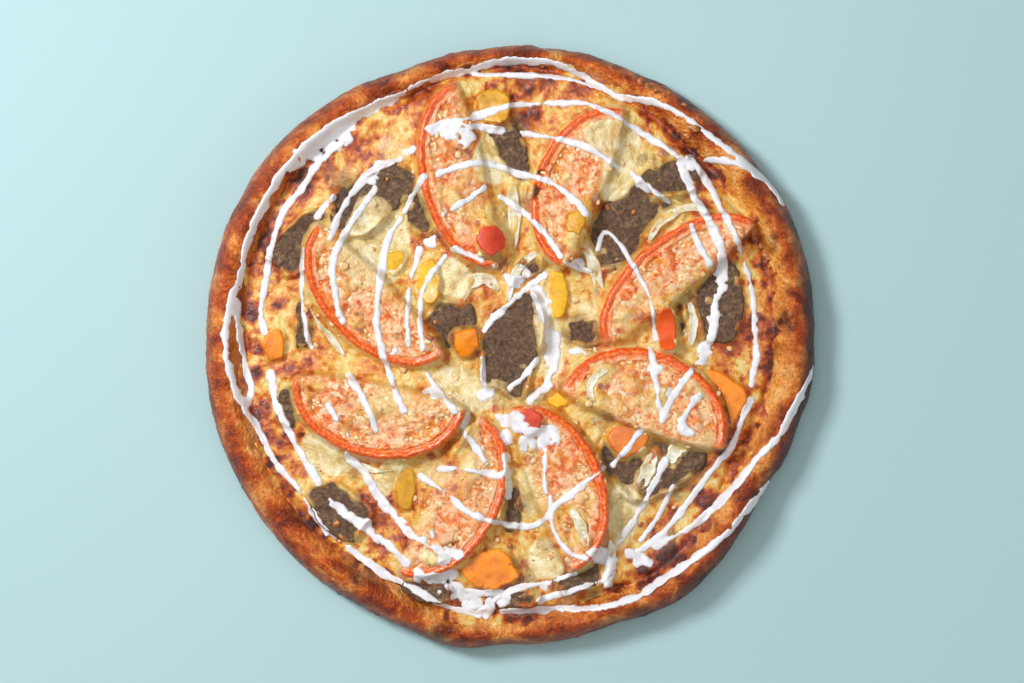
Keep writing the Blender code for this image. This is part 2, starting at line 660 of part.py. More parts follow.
def fuse(body, pieces):
    """Joins a collection of pieces to a body, and removes them."""
    if not pieces.objects:
        bpy.data.collections.remove(pieces)
        return
    union = body.modifiers.new("union", "BOOLEAN")
    union.operation = "UNION"
    union.operand_type = "COLLECTION"
    union.collection = pieces
    union.solver = "EXACT"
    bpy.context.view_layer.update()
    seen = body.evaluated_get(bpy.context.evaluated_depsgraph_get())
    mesh = bpy.data.meshes.new_from_object(seen)
    body.modifiers.remove(union)
    body.data = mesh
    for piece in list(pieces.objects):
        bpy.data.objects.remove(piece, do_unlink=True)
    bpy.data.collections.remove(pieces)


def main():
    """Builds every piece, from the bottom of the pile upwards, and then pours the sauce."""
    remove_everything()
    bread = crust(material("baked_crust", CRUST_BROWN, CRUST_ROUGHNESS))
    layer = cheese(material("melted_cheese", CHEESE_CREAM, CHEESE_ROUGHNESS))
    meat = material("sliced_meat", MEAT_BROWN, MEAT_ROUGHNESS)
    pepper = material("pepper", PEPPER_ORANGE, WET_ROUGHNESS)
    onion = material("onion", ONION_CREAM, WET_ROUGHNESS)
    tomato = material("tomato", TOMATO_RED, WET_ROUGHNESS)
    pile = first_pile()
    poured_on = []

    for number, sizes in enumerate(MEATS, 1):
        outline = meat_outline(*sizes, number)
        name = f"meat_slice_{number}"
        poured_on.append(flat_piece(name, outline, MEAT_THICKNESS, MEAT_RINGS, MEAT_SIDES, MEAT_STIFFNESS,
                                    pile, meat))
    for number, (corners, thick) in enumerate(PEPPERS, 1):
        outline = closed_line(place(corners), 40)
        flat_piece(f"pepper_piece_{number}", outline, thick * MM, PEPPER_RINGS, PEPPER_SIDES,
                   PEPPER_STIFFNESS, pile, pepper)
    for number, (pixels, width) in enumerate(ONIONS, 1):
        onion_strip(f"onion_strip_{number}", pixels, width, pile, onion)
    for number, (outer_tip, inner_tip, skin_reach) in enumerate(TOMATOES, 1):
        outline = tomato_outline(outer_tip, inner_tip, skin_reach)
        name = f"tomato_slice_{number}"
        poured_on.append(flat_piece(name, outline, TOMATO_THICKNESS, TOMATO_RINGS, TOMATO_SIDES,
                                    TOMATO_STIFFNESS, pile, tomato))
    for number, (corners, thick) in enumerate(PEPPERS_ON_TOP, len(PEPPERS) + 1):
        outline = closed_line(place(corners), 40)
        flat_piece(f"pepper_piece_{number}", outline, thick * MM, PEPPER_RINGS, PEPPER_SIDES,
                   PEPPER_STIFFNESS, pile, pepper)
    for number, (pixels, width) in enumerate(ONIONS_ON_TOP, len(ONIONS) + 1):
        onion_strip(f"onion_strip_{number}", pixels, width, pile, onion)

    def on_cheese(x, y, half):
        reach, degrees = seen_from_middle(x, y)
        inside = reach < cheese_radius(degrees) - half - SAUCE_CLEARANCE
        return inside & is_free(pile, cheese_height, x, y, half)

    def on_rim(x, y, half):
        reach, degrees = seen_from_middle(x, y)
        radius, width, height = rim_measures(degrees)
        inside = reach > radius - width + half + SAUCE_CLEARANCE
        outside = reach < radius - RIM_BARE * width - half
        return inside & outside & is_free(pile, crust_height, x, y, half)

    poured_on.append((layer, cheese_height, on_cheese))
    poured_on.append((bread, crust_height, on_rim))
    for body, height, allowed in poured_on:
        fuse(body, sauce_ridges(height, allowed, body.data.materials[0]))


main()
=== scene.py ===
"""The looks of a donair pizza: glossy browned bread, melted cheese that drapes over its toppings, half slices
of tomato, grained meat, peppers, onion, and a thick white sauce drizzled over the whole in loops.

Metres, +Z up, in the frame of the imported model. Places are pixels of the photograph, which looks straight
down, and place() turns them into metres. Heights over the pizza are worked out on one fine grid.
"""

import itertools
import math

import bpy
import numpy as np
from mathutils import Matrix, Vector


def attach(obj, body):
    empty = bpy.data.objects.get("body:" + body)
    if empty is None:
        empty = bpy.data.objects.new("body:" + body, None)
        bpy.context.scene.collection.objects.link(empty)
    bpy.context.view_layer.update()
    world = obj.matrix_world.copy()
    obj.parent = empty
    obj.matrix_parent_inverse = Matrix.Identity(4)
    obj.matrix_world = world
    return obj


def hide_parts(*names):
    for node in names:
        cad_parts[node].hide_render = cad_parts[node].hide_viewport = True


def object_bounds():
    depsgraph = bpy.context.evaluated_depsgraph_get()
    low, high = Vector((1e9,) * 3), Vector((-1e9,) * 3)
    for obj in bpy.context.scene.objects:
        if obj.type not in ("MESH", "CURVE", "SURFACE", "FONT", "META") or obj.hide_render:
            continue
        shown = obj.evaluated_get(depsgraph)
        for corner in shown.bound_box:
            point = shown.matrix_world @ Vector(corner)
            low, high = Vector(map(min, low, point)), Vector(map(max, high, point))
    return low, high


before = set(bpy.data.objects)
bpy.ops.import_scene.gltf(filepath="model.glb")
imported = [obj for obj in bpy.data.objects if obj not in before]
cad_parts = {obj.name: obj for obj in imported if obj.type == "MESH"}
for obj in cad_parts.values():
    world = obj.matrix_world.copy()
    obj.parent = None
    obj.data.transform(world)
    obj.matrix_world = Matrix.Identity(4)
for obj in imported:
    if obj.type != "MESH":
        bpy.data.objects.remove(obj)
CAD_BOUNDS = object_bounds()

MM = 0.001

# The size of the whole, and the photograph's scale
PIZZA_WIDTH = 260 * MM
PHOTO_PIZZA_WIDTH = 610.0
PHOTO_MIDDLE = (511.0, 346.0)
PHOTO_SIZE = (1024, 683)
PIXEL = PIZZA_WIDTH / PHOTO_PIZZA_WIDTH

# The crust: photograph pixels from the middle to its outer edge, by direction in degrees from +X
CRUST_EDGE = (
    (0, 305), (15, 308), (30, 310), (35, 306), (40, 307.5), (45, 304.5), (60, 304.5), (65, 302),
    (75, 304), (84, 301.5), (88, 303), (96, 299.5), (100, 301), (106, 299), (112, 297.5), (120, 303),
    (127, 305.5), (135, 309), (144, 310.5), (156, 310), (165, 308.5), (180, 306), (187, 307), (198, 307),
    (210, 305.5), (225, 304.5), (240, 302.5), (250, 302), (255, 307), (260, 307.5), (268, 300), (283, 300),
    (291, 297), (297, 303), (303, 307), (308, 305.5), (315, 302), (320, 298), (328, 294), (333, 293.5),
    (336, 297), (346, 299.5), (350, 303), (355, 305),
)
# Width and height of the rim in millimetres, by direction in degrees
RIM_WIDTH = (
    (0, 19), (30, 18), (50, 17), (75, 11), (90, 9.5), (105, 11), (135, 16), (180, 17.5), (215, 19),
    (240, 18), (270, 13), (300, 16), (330, 18),
)
RIM_HEIGHT = (
    (0, 20), (25, 21.5), (45, 20), (70, 17), (90, 15.5), (110, 17), (135, 19), (165, 21), (200, 20),
    (225, 19.5), (237, 22), (248, 19), (270, 17), (300, 19), (325, 20.5), (345, 19),
)
# The rim's section from its foot round to the cheese: share of its width inwards, share of its height
RIM_SECTION = (
    (0.24, 0.0), (0.06, 0.09), (0.0, 0.28), (0.04, 0.5), (0.16, 0.76), (0.33, 0.94), (0.5, 1.0),
    (0.68, 0.93), (0.84, 0.76), (0.97, 0.56),
)
OUTLINE_SIDES = 86
RIM_SIDES = 1000
RIM_RINGS = 66
DOUGH_THICKNESS = 7 * MM
# How golden the inner side of the rim is, and how dark its outer side, by direction in degrees
RIM_GOLD = (
    (0, 0.8), (20, 1.0), (38, 1.0), (50, 0.3), (70, 0.1), (100, 0.45), (115, 0.2), (150, 0.15), (180, 0.5),
    (200, 0.45), (225, 0.2), (240, 0.2), (252, 0.9), (265, 0.8), (280, 0.3), (300, 0.45), (325, 0.75),
    (345, 0.8),
)
# The outer side is darker by scorching, and by painted shade where it rises on the right and lower right
RIM_SCORCH_AND_SHADE = (
    (0, 1.2), (12, 0.75), (30, 0.35), (60, 0.3), (90, 0.3), (120, 0.2), (180, 0.12), (215, 0.15),
    (237, 0.45), (255, 0.3), (280, 0.25), (300, 0.45), (318, 0.7), (335, 0.85), (350, 1.1),
)
# Dark places on the rim in photograph pixels: middle, radius, and strength
RIM_SPOTS = (
    (363, 570, 15, 0.8), (785, 320, 9, 0.9), (768, 242, 9, 0.6), (440, 632, 12, 0.6), (700, 590, 22, 0.5),
    (240, 262, 8, 0.5), (262, 440, 10, 0.5), (300, 510, 14, 0.35), (255, 210, 12, 0.3), (690, 100, 14, 0.4),
    (770, 500, 14, 0.5), (797, 223, 9, 0.4), (812, 300, 16, 0.5), (640, 610, 14, 0.4),
)

# The cheese
CHEESE_TOP = 11 * MM
CHEESE_RISE_AT_RIM = 1.2 * MM
CHEESE_GAP = 0.5 * MM
CHEESE_SWELL = 0.45 * MM
CHEESE_LIP = 3.5 * MM
CHEESE_CELLS = 300

# Browned places on the cheese: middle and radius in photograph pixels, and strength
BROWNED = (
    (527, 85, 15, 1.0), (548, 82, 9, 0.8), (533, 116, 14, 0.9), (575, 92, 11, 0.9), (590, 80, 12, 0.7),
    (253, 310, 13, 1.05), (246, 345, 12, 0.6), (255, 375, 13, 0.95), (262, 408, 13, 0.95),
    (355, 145, 14, 0.85),
    (310, 180, 12, 0.85), (392, 107, 8, 0.8), (395, 148, 9, 0.5), (283, 300, 9, 0.55), (730, 345, 13, 0.8),
    (716, 350, 8, 0.6), (755, 333, 8, 0.55), (765, 366, 8, 0.5), (745, 330, 7, 0.4), (650, 112, 12, 0.95),
    (665, 122, 12, 1.1), (683, 135, 14, 1.15), (690, 150, 11, 1.2), (697, 175, 10, 0.85),
    (705, 205, 9, 0.7),
    (440, 632, 15, 0.9), (462, 603, 13, 0.8), (425, 575, 10, 0.7), (668, 556, 16, 1.15),
    (650, 568, 14, 1.1),
    (690, 545, 13, 0.95), (708, 505, 14, 1.1), (700, 522, 10, 0.9), (722, 498, 9, 0.9),
    (748, 442, 10, 0.95),
    (760, 412, 11, 0.8), (742, 425, 10, 0.7), (733, 470, 11, 0.8), (672, 508, 10, 0.8), (654, 527, 9, 0.75),
    (300, 470, 12, 0.7), (285, 440, 11, 0.7), (270, 470, 10, 0.5), (377, 540, 11, 0.85),
    (640, 575, 12, 0.8),
    (617, 588, 12, 0.75), (480, 603, 10, 0.5), (560, 590, 10, 0.55), (527, 600, 9, 0.75),
    (265, 262, 9, 0.7),
    (420, 168, 9, 0.6), (320, 350, 9, 0.4), (430, 330, 9, 0.5), (452, 150, 11, 0.6), (543, 560, 9, 0.3),
    (747, 260, 8, 0.3), (742, 390, 9, 0.4), (770, 340, 7, 0.4), (500, 330, 7, 0.4), (345, 418, 8, 0.6),
    (628, 362, 7, 0.55), (626, 408, 7, 0.5), (462, 228, 8, 0.6), (436, 160, 6, 0.55), (362, 262, 8, 0.6),
    (350, 300, 7, 0.55), (374, 330, 7, 0.5), (312, 386, 7, 0.6), (330, 400, 6, 0.6), (400, 437, 6, 0.5),
    (322, 425, 6, 0.5), (440, 470, 7, 0.6), (463, 472, 6, 0.6), (432, 455, 6, 0.6), (470, 500, 6, 0.5),
    (458, 487, 5, 0.5), (540, 470, 6, 0.5), (577, 470, 8, 0.5), (530, 440, 5, 0.5), (575, 200, 7, 0.5),
    (560, 225, 6, 0.5), (590, 228, 6, 0.5), (605, 143, 6, 0.6), (640, 250, 7, 0.5), (690, 265, 6, 0.5),
    (650, 285, 6, 0.5), (521, 386, 5, 0.6), (407, 437, 6, 0.5), (395, 300, 7, 0.5), (435, 200, 6, 0.5),
    (700, 300, 6, 0.4), (345, 160, 8, 0.45), (370, 130, 8, 0.4), (300, 215, 9, 0.5), (385, 130, 7, 0.4),
    (420, 455, 7, 0.45), (400, 500, 7, 0.4), (520, 580, 7, 0.4), (640, 470, 6, 0.4), (700, 440, 6, 0.5),
    (505, 592, 9, 0.6), (545, 577, 8, 0.55), (575, 592, 9, 0.7), (300, 200, 8, 0.5), (322, 163, 8, 0.6),
    (340, 148, 8, 0.6), (286, 230, 8, 0.6), (275, 247, 8, 0.5), (640, 588, 10, 0.9), (657, 578, 12, 1.05),
    (625, 598, 10, 0.8), (680, 562, 9, 0.9), (524, 566, 7, 0.5), (612, 226, 7, 0.5), (655, 248, 7, 0.6),
)
# Slabs of smooth melted cheese that lie over the rest: outline points in photograph pixels
SLABS = (
    ((366, 191), (388, 200), (404, 217), (412, 238), (408, 262), (396, 285), (378, 290), (352, 286),
     (341, 262),
     (342, 238), (352, 211)),
    ((487, 132), (497, 145), (503, 164), (507, 180), (498, 187), (480, 181), (472, 165), (477, 147)),
    ((577, 128), (600, 119), (632, 126), (645, 144), (637, 160), (629, 178), (632, 196), (618, 204),
     (598, 202),
     (598, 182), (606, 163), (590, 150)),
    ((608, 491), (624, 480), (641, 491), (645, 503), (639, 522), (630, 541), (620, 552), (611, 540),
     (607, 515)),
    ((438, 368), (462, 365), (482, 376), (494, 391), (497, 404), (480, 413), (455, 411), (436, 399),
     (427, 381)),
    ((530, 545), (545, 535), (554, 546), (564, 570), (560, 577), (535, 579), (528, 562)),
    ((301, 441), (313, 429), (331, 440), (346, 455), (354, 467), (345, 476), (325, 475), (308, 464)),
    ((440, 262), (455, 257), (469, 268), (476, 285), (468, 297), (450, 298), (436, 288), (431, 273)),
    ((522, 462), (531, 470), (536, 500), (534, 516), (524, 512), (519, 487)),
    ((536, 282), (548, 290), (560, 330), (566, 362), (556, 382), (541, 380), (538, 345), (530, 310)),
    ((395, 455), (412, 460), (398, 478), (384, 500), (374, 490), (378, 468)),
    ((690, 375), (700, 372), (712, 392), (706, 402), (694, 392)),
    ((420, 545), (450, 556), (462, 566), (440, 566), (420, 560)),
)
# Smaller smooth places: middle and radius in photograph pixels, and strength
SMOOTH_PATCHES = (
    (549, 306, 8, 0.8), (498, 384, 8, 0.8), (538, 396, 8, 0.7), (500, 318, 5, 0.6), (640, 452, 6, 0.6),
    (668, 440, 6, 0.6), (352, 500, 5, 0.6), (318, 228, 5, 0.5), (400, 188, 5, 0.5), (618, 212, 6, 0.6),
    (655, 200, 6, 0.6), (706, 300, 5, 0.5), (722, 320, 6, 0.6), (660, 475, 6, 0.6), (500, 160, 4, 0.5),
    (392, 150, 12, 0.5), (512, 232, 12, 0.6), (505, 385, 10, 0.5), (665, 345, 12, 0.7), (700, 440, 14, 0.6),
    (310, 290, 12, 0.4), (440, 470, 12, 0.5), (610, 262, 12, 0.5), (590, 315, 12, 0.6), (620, 320, 10, 0.5),
    (660, 400, 12, 0.5), (380, 405, 14, 0.5), (475, 470, 12, 0.6), (458, 200, 10, 0.4), (640, 300, 9, 0.4),
)

# Tomato half slices: the outer and the inner tip of the cut, and the reach of the skin, in photograph pixels
TOMATO_THICKNESS = 5.2 * MM
TOMATO_BELLY = 0.16
TOMATOES = (
    ((455, 84), (498, 268), 56),
    ((623, 111), (562, 268), 58),
    ((753, 225), (605, 345), 50),
    ((722, 447), (562, 388), 68),
    ((573, 570), (510, 408), 63),
    ((400, 572), (482, 415), 60),
    ((295, 378), (466, 410), 64),
    ((318, 226), (444, 355), 58),
)
# The seed hollows of each slice: how many lie along the skin, and their shift along it in radians
SEED_HOLLOWS = ((4, 0.3), (4, 0.9), (5, 0.2), (4, 0.5), (4, 1.1), (4, 0.1), (5, 0.8), (4, 0.6))
# Deep gaps in the slices, with painted shade inside: middle and radius in photograph pixels, and strength
DEEP_GAPS = (
    (536, 193, 6, 1.0), (540, 175, 4, 1.0), (560, 512, 8, 1.0), (575, 532, 11, 1.0), (584, 520, 7, 1.0),
    (312, 387, 8, 1.0), (322, 382, 6, 1.0), (453, 545, 5, 0.8), (591, 378, 5, 0.9), (400, 335, 3, 0.8),
)

# Places on the slices in photograph pixels: middle, radius, and strength. Cheese clings to the pale ones, and
# the bright ones show bare flesh
PALE_PLACES = (
    (470, 150, 14, 1.0), (455, 200, 16, 1.0), (478, 214, 14, 1.0), (462, 180, 9, 0.8), (565, 176, 9, 0.9),
    (588, 212, 8, 0.8), (548, 222, 7, 0.6), (704, 247, 15, 0.5), (630, 318, 14, 1.0), (655, 288, 9, 0.8),
    (600, 393, 15, 1.0), (625, 388, 18, 1.0), (650, 400, 16, 1.0), (612, 405, 12, 0.8), (682, 420, 8, 0.8),
    (530, 452, 8, 0.7), (590, 500, 9, 0.7), (545, 510, 11, 0.9), (560, 494, 8, 0.8), (470, 455, 16, 1.0),
    (460, 488, 13, 1.0), (482, 510, 10, 0.8), (440, 560, 10, 0.8), (396, 405, 24, 1.0), (370, 412, 18, 1.0),
    (350, 422, 11, 0.8), (421, 396, 12, 0.8), (345, 258, 13, 1.0), (348, 290, 12, 0.9), (364, 322, 11, 0.9),
    (396, 341, 9, 0.7), (385, 300, 8, 0.7),
)
BRIGHT_PLACES = (
    (437, 100, 13, 1.0), (450, 106, 9, 0.8), (494, 180, 8, 0.8), (493, 222, 8, 0.8), (470, 252, 10, 1.0),
    (440, 160, 6, 0.7), (550, 140, 10, 1.0), (539, 168, 9, 0.9), (572, 198, 12, 1.0), (592, 168, 9, 0.9),
    (585, 236, 10, 1.0), (560, 246, 8, 0.9), (690, 240, 14, 0.8), (660, 262, 12, 1.0), (624, 285, 12, 1.0),
    (614, 310, 9, 1.0), (630, 362, 8, 0.9), (621, 413, 8, 0.9), (700, 430, 12, 1.0), (584, 372, 8, 0.9),
    (692, 408, 8, 0.9), (522, 420, 10, 1.0), (562, 456, 17, 1.0), (586, 440, 10, 1.0), (600, 480, 8, 0.9),
    (545, 474, 10, 0.8), (600, 522, 8, 0.9), (519, 440, 8, 0.8), (440, 520, 17, 1.0), (470, 437, 9, 0.9),
    (455, 541, 10, 0.9), (490, 470, 8, 0.8), (430, 500, 9, 0.8), (325, 410, 12, 0.9), (346, 385, 8, 0.8),
    (338, 430, 8, 0.8), (380, 441, 11, 0.9), (410, 440, 8, 0.8), (372, 252, 8, 0.8), (358, 272, 9, 0.9),
    (376, 321, 10, 0.9), (400, 342, 9, 0.9), (350, 311, 8, 0.8), (392, 270, 9, 0.8), (385, 356, 8, 0.9),
)
JELLY_PLACES = (
    (428, 421, 13, 1.0), (562, 456, 11, 0.8), (440, 518, 12, 0.8), (462, 160, 9, 0.7), (626, 362, 7, 0.8),
    (705, 225, 10, 0.5), (586, 238, 7, 0.9), (332, 262, 6, 0.5), (405, 262, 6, 0.6),
)
# Brown shadows of meat under thin cheese, in the same way
MEAT_SHADOWS = (
    (520, 122, 9, 0.9), (528, 205, 12, 0.7), (500, 470, 9, 0.7), (520, 500, 13, 0.8), (470, 322, 11, 0.8),
    (440, 318, 12, 0.8), (598, 250, 9, 0.7), (620, 470, 14, 0.8), (650, 482, 17, 0.9), (680, 482, 14, 0.8),
    (665, 456, 11, 0.8), (603, 420, 8, 0.8), (590, 585, 12, 0.7), (512, 601, 10, 0.7), (303, 330, 9, 0.8),
    (520, 562, 7, 0.7), (352, 470, 9, 0.6), (345, 515, 14, 0.7), (480, 262, 9, 0.7), (527, 268, 9, 0.7),
    (588, 335, 12, 0.7), (500, 395, 14, 0.7), (540, 395, 10, 0.6), (345, 185, 13, 0.7), (398, 195, 14, 0.8),
    (420, 205, 10, 0.7), (690, 300, 10, 0.7), (735, 300, 10, 0.7), (700, 335, 9, 0.6), (640, 160, 6, 0.6),
    (655, 165, 7, 0.8), (668, 150, 7, 0.7), (600, 545, 8, 0.6), (470, 445, 6, 0.6), (315, 400, 6, 0.7),
    (560, 205, 5, 0.5), (466, 245, 6, 0.5), (700, 470, 9, 0.5), (610, 500, 8, 0.5), (430, 590, 10, 0.7),
    (526, 578, 12, 0.7), (562, 586, 10, 0.7), (546, 546, 8, 0.5), (515, 560, 9, 0.7), (330, 175, 8, 0.4),
    (640, 205, 10, 0.7), (606, 240, 9, 0.6), (690, 200, 9, 0.6), (668, 540, 10, 0.6), (700, 552, 8, 0.6),
    (452, 300, 8, 0.5), (560, 385, 8, 0.5), (445, 340, 11, 0.7), (430, 352, 8, 0.6), (470, 352, 9, 0.7),
    (485, 372, 8, 0.7), (576, 330, 13, 0.8), (592, 345, 9, 0.7), (530, 320, 9, 0.6), (505, 395, 9, 0.7),
    (498, 262, 10, 0.6), (520, 280, 9, 0.6),
)

# Slices of meat: middle, length and width in photograph pixels, and heading in degrees
MEAT_THICKNESS = 2.7 * MM
MEATS = (
    (303, 243, 78, 46, 45), (372, 200, 96, 50, 35), (426, 214, 44, 32, 60), (511, 150, 64, 30, 112),
    (630, 226, 118, 66, 40), (672, 178, 58, 38, 20), (716, 290, 112, 46, 98), (678, 322, 44, 18, 90),
    (513, 346, 104, 58, 76), (452, 325, 54, 48, 0), (528, 266, 32, 24, 20), (586, 332, 36, 28, 10),
    (652, 456, 112, 74, 20), (340, 510, 66, 46, 140), (290, 405, 46, 24, 80), (510, 508, 46, 22, 90),
    (580, 577, 46, 26, 30), (428, 590, 50, 22, -12), (524, 598, 34, 16, 0), (303, 325, 50, 15, 90),
)

# Pieces of pepper: outline points in photograph pixels, thickness in millimetres, and the name of the colour
PEPPERS = (
    (((476, 94), (497, 89), (511, 98), (510, 122), (494, 127), (478, 118)), 3.5, "mustard"),
    (((268, 330), (281, 329), (288, 343), (284, 359), (270, 362), (264, 347)), 3.5, "orange"),
    (((452, 333), (475, 328), (482, 345), (470, 359), (457, 358)), 4.5, "orange"),
    (((551, 272), (563, 270), (569, 295), (565, 319), (553, 321), (548, 298)), 3.5, "yellow"),
    (((702, 367), (717, 370), (749, 393), (729, 432), (708, 408)), 3.0, "orange"),
    (((456, 566), (470, 553), (501, 545), (523, 575), (491, 591), (470, 583)), 5.0, "orange"),
    (((400, 468), (413, 466), (418, 489), (411, 510), (399, 508), (396, 487)), 3.5, "mustard"),
    (((421, 261), (435, 258), (442, 282), (438, 304), (424, 306), (418, 284)), 3.5, "yellow"),
    (((381, 252), (402, 250), (408, 263), (393, 278), (382, 268)), 3.0, "yellow"),
    (((413, 410), (431, 406), (445, 420), (438, 436), (421, 438), (411, 424)), 3.0, "mustard"),
    (((604, 440), (612, 424), (632, 418), (650, 430), (645, 446), (624, 459)), 4.0, "amber"),
    (((546, 400), (560, 390), (572, 392), (568, 404), (553, 411)), 3.0, "yellow"),
    (((566, 216), (580, 211), (586, 222), (579, 237), (567, 234)), 2.6, "mustard"),
    (((658, 309), (669, 307), (677, 328), (673, 350), (661, 352), (655, 331)), 3.5, "red_orange"),
    (((476, 230), (490, 224), (505, 233), (505, 251), (489, 257), (477, 247)), 3.5, "red"),
    (((514, 414), (530, 406), (543, 415), (540, 432), (524, 437), (513, 427)), 3.0, "red"),
)
PEPPER_COLOURS = {
    "mustard": (222, 165, 25), "orange": (250, 145, 10), "yellow": (240, 185, 20), "amber": (235, 130, 45),
    "red_orange": (245, 95, 20), "red": (225, 75, 45),
}

# Strips of onion: points of the middle line and the width, in photograph pixels
ONION_THICKNESS = 1.7 * MM
ONIONS = (
    (((462, 300), (470, 284), (486, 279), (499, 290)), 13),
    (((508, 302), (514, 277), (528, 259), (543, 251)), 8),
    (((580, 240), (592, 262), (598, 285), (600, 303)), 12),
    (((303, 290), (318, 315), (332, 338), (345, 355)), 8),
    (((612, 480), (615, 518), (611, 553), (605, 585)), 11),
    (((352, 461), (376, 468), (401, 465)), 9),
    (((512, 186), (515, 218), (512, 250)), 13),
    (((653, 453), (647, 470), (640, 487)), 15),
    (((669, 462), (675, 450), (687, 443)), 15),
    (((648, 241), (658, 225), (674, 213), (690, 208), (705, 212)), 9),
    (((689, 303), (693, 322), (690, 345)), 9),
    (((571, 508), (580, 524), (586, 544)), 11),
    (((608, 368), (594, 378), (589, 391), (594, 401)), 8),
)

# Charred tips of onion: middle and radius in photograph pixels, and strength
CHARRED_TIPS = ((652, 448, 7, 1.0),)

# The sauce: its height; the depth share down to which a cell is wet, where 1 is the middle of a stroke and 0
# its edge; the share of the given widths that it takes; the width in millimetres above which a pool has
# holes; and the mean distance from the middle of the pizza beyond which a stroke lies on the rim
SAUCE_HEIGHT = 0.55 * MM
SAUCE_EDGE = -0.3
STROKE_SHARE = 0.8
WIDE_POOL = 4.2
RIM_STROKE_REACH = 96 * MM

# Dabs of sauce: middle and radius in photograph pixels
SAUCE_DABS = (
    (704, 350, 8), (698, 362, 5), (484, 395, 6), (577, 266, 5), (640, 180, 5), (432, 243, 7), (512, 280, 7),
    (524, 274, 5), (577, 350, 4), (440, 576, 10), (422, 573, 7), (456, 590, 8), (470, 600, 10),
    (486, 606, 8),
    (602, 556, 9), (640, 556, 8), (607, 577, 5), (512, 420, 8), (545, 438, 9), (528, 446, 6), (508, 436, 6),
    (655, 372, 5), (666, 394, 6), (676, 380, 4), (660, 414, 5), (691, 398, 4), (684, 426, 5), (450, 130, 9),
    (464, 138, 7), (379, 167, 6), (410, 152, 5), (373, 178, 4), (692, 163, 7), (716, 278, 6), (712, 322, 5),
    (545, 388, 5), (430, 533, 4), (446, 556, 5), (366, 524, 5), (504, 600, 6), (330, 148, 7), (315, 156, 7),
    (345, 140, 6), (548, 300, 5), (552, 345, 6), (395, 350, 4), (432, 392, 5), (505, 470, 5), (545, 584, 4),
)

